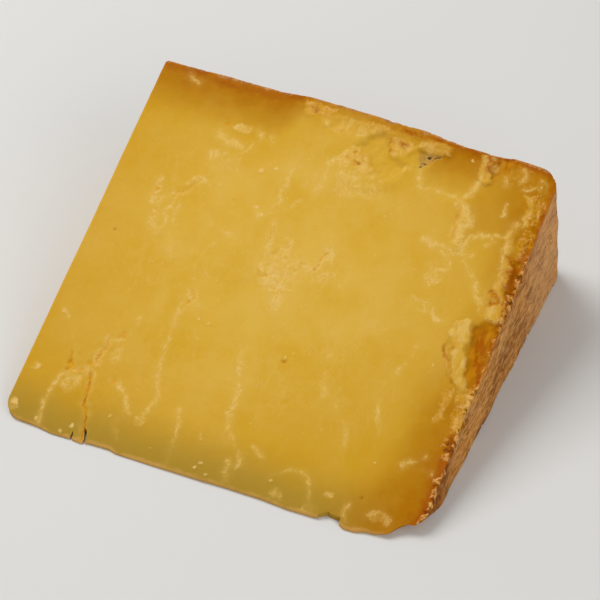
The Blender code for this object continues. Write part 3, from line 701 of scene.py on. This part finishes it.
def rind_relief(first, second):
    """Lumps of the rind, drawn out along the first direction, with fine pits and cloth grain."""
    still = np.full(first.shape, 4.5)
    stretched = np.stack([first / RIND_GRAIN_ALONG, second / RIND_GRAIN_ACROSS, still], axis=1)
    lumps = RIND_LUMP * noise_at(stretched)
    zero = np.zeros(first.shape)
    grain = RIND_CLOTH * rough_at(first * 0.4, second, zero, 2.0 * MM, 4)
    pits = rough_at(first, second, zero + 50 * MM, 3.0 * MM, 2)
    return lumps + grain - RIND_PITS * eased(pits * 2.5 - 0.8)


def round_tip(across, inward, up):
    """Rounds the worn edge between the upper cut and the tip's narrow face."""
    edge = along(TIP_EDGE, across)
    thickness = SECTOR_ANGLE * (TIP_RADIUS + inward)
    below = (1.0 - up) * thickness
    past_tip = TIP_ROUNDING - (inward - edge)
    past_top = TIP_ROUNDING - below
    corner = (past_tip > 0) & (past_top > 0)
    reach = np.maximum(past_tip, past_top)
    length = np.maximum(np.hypot(past_tip, past_top), TIP_ROUNDING * 1e-6)
    shrink = np.where(corner, reach / length, 1.0)
    inward = np.where(corner, edge + TIP_ROUNDING - past_tip * shrink, inward)
    below = np.where(corner, TIP_ROUNDING - past_top * shrink, below)
    return inward, 1.0 - below / thickness


def wedge_points(shares):
    """World places of the surface, from shares (across, inward, up) of the wedge's block."""
    across, inward = outline_places(shares[:, 0], shares[:, 1])
    inward, up = round_tip(across, inward, shares[:, 2])
    near_tip = np.clip(1.0 - shares[:, 1] * DEPTH / EDGE_REACH, 0.0, 1.0)
    radius = TIP_RADIUS + inward + along(FOOT_RETREAT, across) * (1.0 - up) * near_tip
    angle = SECTOR_ANGLE * up
    on_end = shares[:, 0] > 1.0 - 1e-6
    on_side = shares[:, 1] > 1.0 - 1e-6
    height = radius * np.sin(angle)
    radius = radius + np.where(on_side, rind_relief(across, angle * WHEEL_RADIUS), 0.0)
    flare = END_FLARE * eased(shares[:, 1] * DEPTH / FLARE_REACH + 0.3)
    sideways = across + flare * (1.0 - up) * eased(shares[:, 0] * 6.0 - 5.0)
    sideways = sideways + np.where(on_end, rind_relief(inward, height), 0.0)
    lift = cut_relief(across, inward) * eased(up * 2.5 - 1.5)
    lift = np.maximum(lift, -0.5 * SECTOR_ANGLE * radius * up)
    return np.stack([
        LEFT_END_X + sideways,
        WHEEL_AXIS_Y + radius * np.cos(angle) - lift * np.sin(angle),
        radius * np.sin(angle) + lift * np.cos(angle),
    ], axis=1)


def block_side(fixed_axis, fixed, counts, outward):
    """Grid of quads over one side of a block, as whole-number places on its grid."""
    first, second = [axis for axis in range(3) if axis != fixed_axis]
    i, j = np.meshgrid(np.arange(counts[first]), np.arange(counts[second]), indexing="ij")
    corners = []
    for di, dj in ((0, 0), (1, 0), (1, 1), (0, 1)):
        place = np.zeros(i.shape + (3,), int)
        place[..., fixed_axis] = fixed
        place[..., first] = i + di
        place[..., second] = j + dj
        corners.append(place.reshape(-1, 3))
    quads = np.stack(corners, axis=1)
    return quads if outward else quads[:, ::-1]


def block_surface(counts):
    """The block's sides as welded quads, and one flat face below, which comes last."""
    nx, ny, nz = counts
    sides = [
        block_side(0, 0, counts, False),
        block_side(0, nx, counts, True),
        block_side(1, 0, counts, True),
        block_side(1, ny, counts, False),
        block_side(2, nz, counts, True),
    ]
    quads = np.concatenate(sides)
    places, index = np.unique(quads.reshape(-1, 3), axis=0, return_inverse=True)
    faces = index.reshape(-1, 4).tolist()
    number = {tuple(place): at for at, place in enumerate(places.tolist()) if place[2] == 0}
    rim = [(0, y, 0) for y in range(ny)] + [(x, ny, 0) for x in range(nx)]
    rim += [(nx, y, 0) for y in range(ny, 0, -1)] + [(x, 0, 0) for x in range(nx, 0, -1)]
    faces.append([number[place] for place in rim])
    return places, faces


def break_cutter(index, outline):
    """A prism through the tip edge, with the outline of one break."""
    shape = bmesh.new()
    corners = [
        shape.verts.new((LEFT_END_X + x * MM, WHEEL_AXIS_Y + TIP_RADIUS + y * MM, -BREAK_OVERSHOOT))
        for x, y in outline
    ]
    face = shape.faces.new(corners)
    raised = bmesh.ops.extrude_face_region(shape, geom=[face])["geom"]
    top = [item for item in raised if isinstance(item, bmesh.types.BMVert)]
    bmesh.ops.translate(shape, verts=top, vec=(0.0, 0.0, TIP_RADIUS + 2.0 * BREAK_OVERSHOOT))
    bmesh.ops.recalc_face_normals(shape, faces=shape.faces)
    mesh = bpy.data.meshes.new(f"edge_break_{index}")
    shape.to_mesh(mesh)
    shape.free()
    cutter = bpy.data.objects.new(f"edge_break_{index}", mesh)
    bpy.context.scene.collection.objects.link(cutter)
    return cutter


def split_crowded_faces(mesh):
    """Splits the many-sided faces beside the breaks, but not the underside, into even triangles."""
    shape = bmesh.new()
    shape.from_mesh(mesh)
    bmesh.ops.remove_doubles(shape, verts=shape.verts, dist=SLIVER)
    crowded = [face for face in shape.faces if 4 < len(face.verts) < MANY_CORNERS]
    bmesh.ops.triangulate(shape, faces=crowded, ngon_method="BEAUTY")
    bmesh.ops.dissolve_degenerate(shape, dist=0.1 * SLIVER, edges=shape.edges)
    shape.to_mesh(mesh)
    shape.free()


def cut_breaks(wedge):
    """Cuts the breaks of the tip edge and applies them."""
    cutters = []
    for index, outline in enumerate(EDGE_BREAKS):
        cutter = break_cutter(index, outline)
        cut = wedge.modifiers.new(cutter.name, "BOOLEAN")
        cut.operation = "DIFFERENCE"
        cut.solver = "EXACT"
        cut.object = cutter
        cutters.append(cutter)
    graph = bpy.context.evaluated_depsgraph_get()
    cut_mesh = bpy.data.meshes.new_from_object(wedge.evaluated_get(graph))
    wedge.modifiers.clear()
    split_crowded_faces(cut_mesh)
    wedge.data = cut_mesh
    for cutter in cutters:
        bpy.data.objects.remove(cutter)


def mesh_places(mesh):
    """Each vertex's place in the wheel: (across, inward, share of the way up), and its position."""
    position = np.empty(len(mesh.vertices) * 3)
    mesh.vertices.foreach_get("co", position)
    position = position.reshape(-1, 3)
    across = position[:, 0] - LEFT_END_X
    forward = position[:, 1] - WHEEL_AXIS_Y
    inward = np.hypot(forward, position[:, 2]) - TIP_RADIUS
    up = np.arctan2(position[:, 2], forward) / SECTOR_ANGLE
    return across, inward, up, position


def write_mask(mesh, name, values):
    """Stores one number from 0 to 1 at each vertex."""
    mask = mesh.attributes.new(name, "FLOAT", "POINT")
    mask.data.foreach_set("value", np.clip(values, 0.0, 1.0).astype(np.float32))


def paint_masks(mesh):
    """Writes where each look of the surface lies, for the material to read."""
    across, inward, up, position = mesh_places(mesh)
    x, y = wandering(across, inward)
    below = (1.0 - up) * SECTOR_ANGLE * (TIP_RADIUS + inward) + cut_relief(across, inward)
    on_cut = eased(1.6 - below / (0.8 * MM))
    grain = grain_at(across, inward)
    places, lips = np.array(END_LIP, float).T
    lip = np.interp(inward / MM, places, lips) * MM
    lip = lip * (1.0 + 1.2 * rough_at(*position.T, 3.5 * MM, 4))
    off_end = eased((below - lip) / (0.5 * MM))
    crumbly = crumbliness(x, y) * (1.0 - off_end)
    patchy = np.clip(0.85 + 1.15 * rough_at(*position.T, 8.0 * MM, 4), 0.2, 1.4)
    end_gap = AXIAL_LENGTH + END_FLARE * (1.0 - up) - x
    side_gap = along(RIND_EDGE, across) - y
    tip_gap = y - along(TIP_EDGE, across)
    off_cut = eased(below / (0.6 * MM) - 1.0)
    end_rind = off_end * eased(5.0 - end_gap / (0.5 * MM))
    side_rind = np.maximum(eased(1.2 - side_gap / (0.5 * MM)), off_cut * eased(5.0 - side_gap / (0.5 * MM)))
    # Amber beside the rinds: partly the drier cheese's own colour, partly painted shade where the light falls
    # off
    amber = np.maximum(beside(BACK_AMBER, across, side_gap), beside(END_AMBER, inward, end_gap))
    amber = np.maximum(amber, patches(x, y, AMBER_PATCHES))
    amber = amber * (1.0 + 0.2 * rough_at(across, inward, np.zeros(across.shape), 7.0 * MM))
    toast = np.maximum(beside(BACK_TOAST, across, side_gap), beside(END_TOAST, inward, end_gap))
    toast = toast * (1.0 + 0.5 * rough_at(across, inward, np.zeros(across.shape), 4.0 * MM))
    off_middle = np.hypot((across - CUT_MIDDLE[0]) / 1.05, inward - CUT_MIDDLE[1])
    # Painted glow where light shines through the thin tip edge, and a painted highlight along the back edge
    rim = eased(1.4 - position[:, 2] / (1.8 * MM)) * eased(1.2 - tip_gap / (1.2 * MM))
    rim = np.maximum(rim, 0.6 * eased(1.5 - np.abs(side_gap) / (0.5 * MM)) * on_cut)
    crack_rims = np.zeros(across.shape)
    for _, _, route in OPEN_CRACKS:
        gap = distance_to_route(x, y, route)
        crack_rims = np.maximum(crack_rims, CRACK_RIM * np.exp(-((gap / CRACK_RIM_WIDTH) ** 2)))
    veins = np.maximum(strokes(x, y, PALE_STROKES), patches(x, y, PALE_PATCHES))
    veins = np.maximum(veins * 1.25, crack_rims) * patchy * (1.0 - 0.45 * eased(1.0 - tip_gap / VEIN_FADE))
    write_mask(mesh, "veins", veins * on_cut)
    write_mask(mesh, "pale_specks", specks(x, y, PALE_SPECKS) * on_cut)
    write_mask(mesh, "dark_specks", specks(x, y, DARK_SPECKS) * on_cut)
    cracks = np.maximum(crack_depth(x, y) / (1.0 * MM), 0.8 * specks(x, y, GOLDEN_HOLES))
    write_mask(mesh, "cracks", cracks * on_cut)
    write_mask(mesh, "flakes", patches(x, y, FLAKE_PATCHES) * on_cut)
    write_mask(mesh, "fretted", patches(x, y, FRETTED_PATCHES) * on_cut)
    write_mask(mesh, "torn", patches(x, y, TORN_PATCHES) * on_cut)
    write_mask(mesh, "burnt", strokes(x, y, BURNT_STROKES) * on_cut)
    write_mask(mesh, "amber", amber)
    write_mask(mesh, "toast", toast)
    # Painted shade: the cut darkens away from its lit middle
    write_mask(mesh, "painted_falloff_shade", eased(off_middle / SHADE_FALLOFF_REACH - 0.25))
    write_mask(mesh, "mould", patches(x, y, MOULD_PATCHES) * on_cut)
    write_mask(mesh, "mould_dots", specks(x, y, MOULD_DOTS) * on_cut)
    # Painted shade: the cut darkens towards the thin tip edge
    write_mask(mesh, "painted_tip_shade", eased(1.0 - tip_gap / TIP_SHADE_WIDTH))
    write_mask(mesh, "rim", rim)
    write_mask(mesh, "rind", np.maximum(end_rind, side_rind))
    write_mask(mesh, "worn_rind", eased((WORN_RIND_END - inward) / WORN_RIND_FADE))
    write_mask(mesh, "dry", eased((inward - DRY_RIND_START) / DRY_RIND_FADE) * (1.0 - 0.7 * side_rind))
    write_mask(mesh, "crumb_tops", crumbly * eased(0.4 + 3.0 * grain))
    # Painted shade in the low spots between the crumbs, where the grain sinks the relief
    write_mask(mesh, "crumb_pit_shade", crumbly * eased(-0.2 - 4.0 * grain))


def row_shares(rows, length):
    """Shares of a length for its rows, whose spacing is given for each stretch."""
    shares = [0.0]
    for end, spacing in rows:
        count = round((end - shares[-1]) / spacing)
        shares += np.linspace(shares[-1], end, count + 1)[1:].tolist()
    return np.array(shares) * MM / length


def wedge_piece():
    """The dense mesh of the wedge, kept inside the solid's box."""
    across_rows = row_shares(ROWS_ACROSS, AXIAL_LENGTH)
    inward_rows = row_shares(ROWS_INWARD, DEPTH)
    places, faces = block_surface((len(across_rows) - 1, len(inward_rows) - 1, ROWS_UP))
    shares = np.stack([across_rows[places[:, 0]], inward_rows[places[:, 1]], places[:, 2] / ROWS_UP], axis=1)
    points = wedge_points(shares)
    low, high = (np.array(corner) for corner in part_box(NODE))
    points = np.clip(points, low, high)
    points[places[:, 2] == 0, 2] = 0.0
    mesh = bpy.data.meshes.new("cheese")
    mesh.from_pydata(points.tolist(), [], faces)
    mesh.materials.append(cheese_material())
    mesh.materials.append(underside_material())
    mesh.polygons[len(faces) - 1].material_index = 1
    wedge = bpy.data.objects.new("cheese", mesh)
    bpy.context.scene.collection.objects.link(wedge)
    cut_breaks(wedge)
    paint_masks(wedge.data)
    wedge.data.shade_smooth()
    wedge.data.set_sharp_from_angle(angle=radians(42))
    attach(wedge, "root")
    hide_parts(NODE)
    return wedge


def colour(red, green, blue):
    """A colour given as it is seen, in 0 to 255, as the linear values that a shader takes."""
    seen = np.array([red, green, blue]) / 255.0
    linear = np.where(seen <= 0.04045, seen / 12.92, ((seen + 0.055) / 1.055) ** 2.4)
    return (*linear.tolist(), 1.0)


CHEESE = colour(215, 173, 70)
CHEESE_DEEP = colour(209, 164, 48)
# Painted shade for the cut away from its lit middle
FALLOFF_SHADE = colour(195, 144, 12)
PALE = colour(219, 180, 92)
VEIN_LINE = colour(224, 188, 110)
VEIN_SHADOW = colour(204, 146, 22)
SPECK = colour(226, 192, 120)
AMBER = colour(173, 111, 0)
TOAST = colour(158, 78, 0)
TORN = colour(196, 128, 8)
BURNT = colour(160, 80, 0)
FLAKE = colour(214, 170, 70)
CRACK = colour(212, 148, 10)
# Painted shade of the thin tip edge
TIP_SHADE = colour(165, 132, 45)
# Painted glow and highlight of the thin edges
EDGE_GLOW = colour(208, 160, 88)
RIND = colour(196, 132, 62)
RIND_DARK = colour(130, 74, 32)
RIND_PALE = colour(222, 168, 102)
RIND_DRY = colour(214, 160, 112)
CRUMB = colour(222, 172, 96)
PIT = colour(100, 52, 16)
MOULD = colour(70, 56, 34)
MOULD_PALE = colour(182, 144, 84)

# The marbling runs a little across the way from tip to rind
MARBLING_TURN = (0.0, 0.0, radians(14))


class Nodes:
    """Short calls for the nodes of one material."""

    def __init__(self, name):
        self.material = bpy.data.materials.new(name)
        self.material.use_nodes = True
        self.tree = self.material.node_tree
        self.surface = self.tree.nodes["Principled BSDF"]
        self.place = self.tree.nodes.new("ShaderNodeTexCoord").outputs["Object"]

    def join(self, value, socket):
        if isinstance(value, bpy.types.NodeSocket):
            self.tree.links.new(value, socket)
        else:
            socket.default_value = value

    def mask(self, name):
        node = self.tree.nodes.new("ShaderNodeAttribute")
        node.attribute_name = name
        return node.outputs["Fac"]

    def blend(self, factor, first, second):
        node = self.tree.nodes.new("ShaderNodeMix")
        node.data_type = "RGBA"
        self.join(factor, node.inputs[0])
        self.join(first, node.inputs[6])
        self.join(second, node.inputs[7])
        return node.outputs[2]

    def math(self, operation, first, second):
        node = self.tree.nodes.new("ShaderNodeMath")
        node.operation = operation
        node.use_clamp = operation != "SUBTRACT"
        self.join(first, node.inputs[0])
        self.join(second, node.inputs[1])
        return node.outputs[0]

    def times(self, first, second):
        return self.math("MULTIPLY", first, second)

    def spread(self, value, low, high, to_low=0.0, to_high=1.0):
        node = self.tree.nodes.new("ShaderNodeMapRange")
        self.join(value, node.inputs["Value"])
        node.inputs["From Min"].default_value = low
        node.inputs["From Max"].default_value = high
        node.inputs["To Min"].default_value = to_low
        node.inputs["To Max"].default_value = to_high
        return node.outputs["Result"]

    def lines(self, field, width, strength):
        """Thin lines where a noise field crosses its middle."""
        off_middle = self.math("ABSOLUTE", self.math("SUBTRACT", field, 0.5), 0.0)
        return self.spread(off_middle, width, 0.0, 0.0, strength)

    def ragged(self, mask, breaks, low, high, most):
        """A soft mask with torn edges, where breaks runs from 0 to 2."""
        return self.spread(self.times(mask, breaks), low, high, 0.0, most)

    def stretched(self, scale, turn=(0.0, 0.0, 0.0)):
        node = self.tree.nodes.new("ShaderNodeMapping")
        self.join(self.place, node.inputs["Vector"])
        node.inputs["Scale"].default_value = scale
        node.inputs["Rotation"].default_value = turn
        return node.outputs["Vector"]

    def noise(self, scale, detail=3.0, rough=0.55, distortion=0.0, place=None):
        node = self.tree.nodes.new("ShaderNodeTexNoise")
        self.join(place or self.place, node.inputs["Vector"])
        node.inputs["Scale"].default_value = scale
        node.inputs["Detail"].default_value = detail
        node.inputs["Roughness"].default_value = rough
        node.inputs["Distortion"].default_value = distortion
        return node.outputs["Fac"]

    def bump(self, height, distance, normal=None):
        node = self.tree.nodes.new("ShaderNodeBump")
        node.inputs["Distance"].default_value = distance
        self.join(height, node.inputs["Height"])
        if normal is not None:
            self.join(normal, node.inputs["Normal"])
        return node.outputs["Normal"]


def cheese_body(nodes):
    """The colour of plain cheese, with its faint mottling and marbling."""
    mottle = nodes.spread(nodes.noise(45.0, 5.0), 0.36, 0.64)
    body = nodes.blend(mottle, CHEESE, CHEESE_DEEP)
    streaks = nodes.stretched((1.0, 0.42, 1.0), MARBLING_TURN)
    clouds = nodes.spread(nodes.noise(30.0, 3.0), 0.42, 0.62)
    for scale, width, strength in ((62.0, 0.030, 0.30), (130.0, 0.035, 0.22)):
        lines = nodes.lines(nodes.noise(scale, 5.0, 0.62, 0.25, streaks), width, strength)
        body = nodes.blend(nodes.times(lines, clouds), body, PALE)
    crystals = nodes.spread(nodes.noise(700.0, 2.0, 0.5), 0.68, 0.74, 0.0, 0.4)
    body = nodes.blend(crystals, body, SPECK)
    haze = nodes.spread(nodes.noise(110.0, 5.0, 0.65, 0.2, streaks), 0.48, 0.72, 0.0, 0.28)
    return nodes.blend(haze, body, PALE)


def rind_colour(nodes):
    """Dry brown rind: blotches, faint streaks along the radius, pits and pale bloom."""
    broad = nodes.noise(120.0, 6.0, 0.68, 0.4, nodes.stretched((1.0, 0.6, 1.0)))
    fine = nodes.noise(700.0, 4.0, 0.65, 0.3, nodes.stretched((1.0, 0.3, 1.0)))
    rind = nodes.blend(nodes.spread(broad, 0.38, 0.58), RIND_DARK, RIND)
    bloom = nodes.spread(nodes.noise(60.0, 7.0, 0.75), 0.50, 0.64, 0.0, 0.5)
    rind = nodes.blend(bloom, rind, RIND_PALE)
    orange = nodes.spread(nodes.noise(150.0, 5.0, 0.6, 0.6), 0.56, 0.66, 0.0, 0.5)
    rind = nodes.blend(orange, rind, BURNT)
    pits = nodes.spread(nodes.noise(420.0, 5.0, 0.75, 0.4), 0.58, 0.66, 0.0, 0.75)
    seams = nodes.noise(170.0, 5.0, 0.6, 0.5, nodes.stretched((1.0, 0.16, 1.0)))
    rind = nodes.blend(nodes.lines(seams, 0.018, 0.5), rind, PIT)
    rind = nodes.blend(nodes.times(nodes.mask("dry"), 0.45), rind, RIND_DRY)
    rind = nodes.blend(nodes.spread(fine, 0.46, 0.64, 0.0, 0.6), rind, RIND_PALE)
    rind = nodes.blend(nodes.spread(fine, 0.46, 0.32, 0.0, 0.6), rind, RIND_DARK)
    rind = nodes.blend(pits, rind, PIT)
    worn = nodes.mask("worn_rind")
    rind = nodes.blend(nodes.times(worn, 0.5), rind, RIND_DARK)
    holes = nodes.spread(nodes.noise(360.0, 5.0, 0.75, 0.4), 0.50, 0.60, 0.0, 0.9)
    return nodes.blend(nodes.times(holes, worn), rind, PIT)


def vein_colours(nodes, body):
    """Pale veins: a faint haze with a web of finer pale and deeper lines in it."""
    veins = nodes.mask("veins")
    body = nodes.blend(nodes.times(veins, 0.85), body, PALE)
    inside = nodes.spread(veins, 0.10, 0.45)
    web = nodes.stretched((1.0, 0.7, 1.0), MARBLING_TURN)
    for scale, width, shade, strength in (
        (190.0, 0.020, VEIN_SHADOW, 0.60), (150.0, 0.026, VEIN_LINE, 0.80), (250.0, 0.030, VEIN_LINE, 0.70),
    ):
        lines = nodes.lines(nodes.noise(scale, 4.0, 0.6, 0.7, web), width, strength)
        body = nodes.blend(nodes.times(lines, inside), body, shade)
    return body


def cheese_material():
    """All that the surface shows, layered from plain cheese up to crumbs and mould."""
    nodes = Nodes("cheddar_surface")
    surface = nodes.surface
    fibre = nodes.noise(520.0, 6.0, 0.72, 0.5, nodes.stretched((1.0, 0.55, 1.0), MARBLING_TURN))
    breaks = nodes.spread(fibre, 0.34, 0.66, 0.0, 2.0)
    crumbs = nodes.spread(nodes.noise(950.0, 5.0, 0.7), 0.36, 0.64, 0.0, 2.0)
    body = cheese_body(nodes)
    # Painted shade: darker away from the cut's lit middle
    body = nodes.blend(nodes.times(nodes.mask("painted_falloff_shade"), 0.75), body, FALLOFF_SHADE)
    # Painted shade towards the thin tip edge
    body = nodes.blend(nodes.times(nodes.mask("painted_tip_shade"), 0.9), body, TIP_SHADE)
    # Amber: partly the drier cheese's own colour, partly painted shade beside the rinds
    body = nodes.blend(nodes.mask("amber"), body, AMBER)
    body = nodes.blend(nodes.mask("toast"), body, TOAST)
    body = vein_colours(nodes, body)
    streaks = nodes.noise(360.0, 4.0, 0.6, 0.4, nodes.stretched((1.0, 0.18, 1.0), (0.0, 0.0, radians(8))))
    torn = nodes.blend(nodes.spread(streaks, 0.40, 0.62), AMBER, TORN)
    body = nodes.blend(nodes.mask("torn"), body, torn)
    flaky = nodes.mask("flakes")
    body = nodes.blend(nodes.times(flaky, 0.7), body, FLAKE)
    ribs = nodes.spread(streaks, 0.52, 0.60, 0.0, 1.0)
    body = nodes.blend(nodes.times(nodes.times(flaky, ribs), 0.6), body, VEIN_LINE)
    gaps = nodes.spread(streaks, 0.46, 0.38, 0.0, 1.0)
    body = nodes.blend(nodes.times(nodes.times(flaky, gaps), 0.5), body, VEIN_SHADOW)
    fretted = nodes.ragged(nodes.mask("fretted"), crumbs, 0.35, 0.95, 0.8)
    body = nodes.blend(fretted, body, nodes.blend(nodes.spread(fibre, 0.45, 0.58), VEIN_SHADOW, CRUMB))
    body = nodes.blend(nodes.ragged(nodes.mask("burnt"), breaks, 0.1, 1.1, 0.9), body, BURNT)
    body = nodes.blend(nodes.mask("cracks"), body, CRACK)
    body = nodes.blend(nodes.ragged(nodes.mask("pale_specks"), breaks, 0.2, 1.0, 0.8), body, SPECK)
    body = nodes.blend(nodes.times(nodes.mask("dark_specks"), 0.6), body, BURNT)
    # Painted glow along the tip edge and painted highlight along the back edge
    body = nodes.blend(nodes.times(nodes.mask("rim"), 0.7), body, EDGE_GLOW)
    rind_mask = nodes.mask("rind")
    body = nodes.blend(rind_mask, body, rind_colour(nodes))
    body = nodes.blend(nodes.ragged(nodes.mask("crumb_tops"), crumbs, 0.25, 1.0, 0.85), body, CRUMB)
    # Painted shade in the low spots between the crumbs
    body = nodes.blend(nodes.ragged(nodes.mask("crumb_pit_shade"), crumbs, 0.25, 1.0, 0.85), body, PIT)
    mouldy = nodes.mask("mould")
    body = nodes.blend(nodes.times(mouldy, 0.6), body, MOULD_PALE)
    body = nodes.blend(nodes.ragged(nodes.mask("mould_dots"), crumbs, 0.3, 0.8, 1.0), body, MOULD)
    nodes.join(body, surface.inputs["Base Color"])
    gloss = nodes.spread(nodes.noise(130.0, 3.0), 0.35, 0.65, 0.42, 0.58)
    roughness = nodes.math("ADD", gloss, nodes.times(rind_mask, 0.35))
    nodes.join(roughness, surface.inputs["Roughness"])
    fine = nodes.bump(nodes.noise(900.0, 3.0, 0.6), 0.06 * MM)
    coarse = nodes.bump(nodes.times(fibre, rind_mask), 0.4 * MM, fine)
    nodes.join(coarse, surface.inputs["Normal"])
    surface.inputs["Specular IOR Level"].default_value = 0.03
    surface.inputs["Subsurface Weight"].default_value = 0.3
    surface.inputs["Subsurface Radius"].default_value = (1.0, 0.5, 0.15)
    surface.inputs["Subsurface Scale"].default_value = 1.6 * MM
    return nodes.material


def underside_material():
    """The cut that the wedge lies on: plain cheese pressed flat."""
    nodes = Nodes("cheddar_underside")
    surface = nodes.surface
    nodes.join(cheese_body(nodes), surface.inputs["Base Color"])
    nodes.join(nodes.spread(nodes.noise(130.0, 3.0), 0.35, 0.65, 0.4, 0.55), surface.inputs["Roughness"])
    nodes.join(nodes.bump(nodes.noise(700.0, 3.0, 0.6), 0.08 * MM), surface.inputs["Normal"])
    surface.inputs["Specular IOR Level"].default_value = 0.35
    return nodes.material


def plain_material(name, shade, roughness):
    """One even colour, for what isn't part of the object."""
    nodes = Nodes(name)
    nodes.surface.inputs["Base Color"].default_value = shade
    nodes.surface.inputs["Roughness"].default_value = roughness
    return nodes.material


def floor():
    """A wide pale floor, not part of the object."""
    bpy.ops.mesh.primitive_plane_add(size=FLOOR_SIZE, location=(0.0, 0.0, -FLOOR_DROP))
    plane = bpy.context.active_object
    plane.name = "floor"
    plane.data.materials.append(plain_material("pale_floor", colour(214, 213, 210), 0.8))


def area_light(name, place, size, power):
    """A square lamp that faces the wedge."""
    lamp = bpy.data.lights.new(name, "AREA")
    lamp.size = size
    lamp.energy = power
    light = bpy.data.objects.new(name, lamp)
    light.location = place
    light.rotation_euler = (-Vector(place)).to_track_quat("-Z", "Y").to_euler()
    bpy.context.scene.collection.objects.link(light)


def studio():
    """Soft light from the upper left, a weak fill and an even pale sky."""
    for lamp in LAMPS:
        area_light(*lamp)
    world = bpy.data.worlds.new("studio")
    world.use_nodes = True
    sky = world.node_tree.nodes["Background"]
    sky.inputs["Color"].default_value = (1.0, 1.0, 1.0, 1.0)
    sky.inputs["Strength"].default_value = SKY_STRENGTH
    bpy.context.scene.world = world
    bpy.context.scene.view_settings.view_transform = "Standard"


def camera():
    """The camera, aimed down at the wedge with a slight tilt."""
    lens = bpy.data.cameras.new("camera")
    lens.lens = CAMERA_LENS
    lens.sensor_width = SENSOR_WIDTH
    lens.clip_start = CAMERA_CLIP
    view = bpy.data.objects.new("camera", lens)
    away = Vector((
        sin(CAMERA_AZIMUTH) * cos(CAMERA_ELEVATION),
        -cos(CAMERA_AZIMUTH) * cos(CAMERA_ELEVATION),
        sin(CAMERA_ELEVATION),
    ))
    view.location = AIM + CAMERA_DISTANCE * away
    turn = (-away).to_track_quat("-Z", "Y") @ Quaternion((0.0, 0.0, 1.0), CAMERA_ROLL)
    view.rotation_euler = turn.to_euler()
    bpy.context.scene.collection.objects.link(view)
    bpy.context.scene.camera = view


camera()
wedge_piece()
floor()
studio()
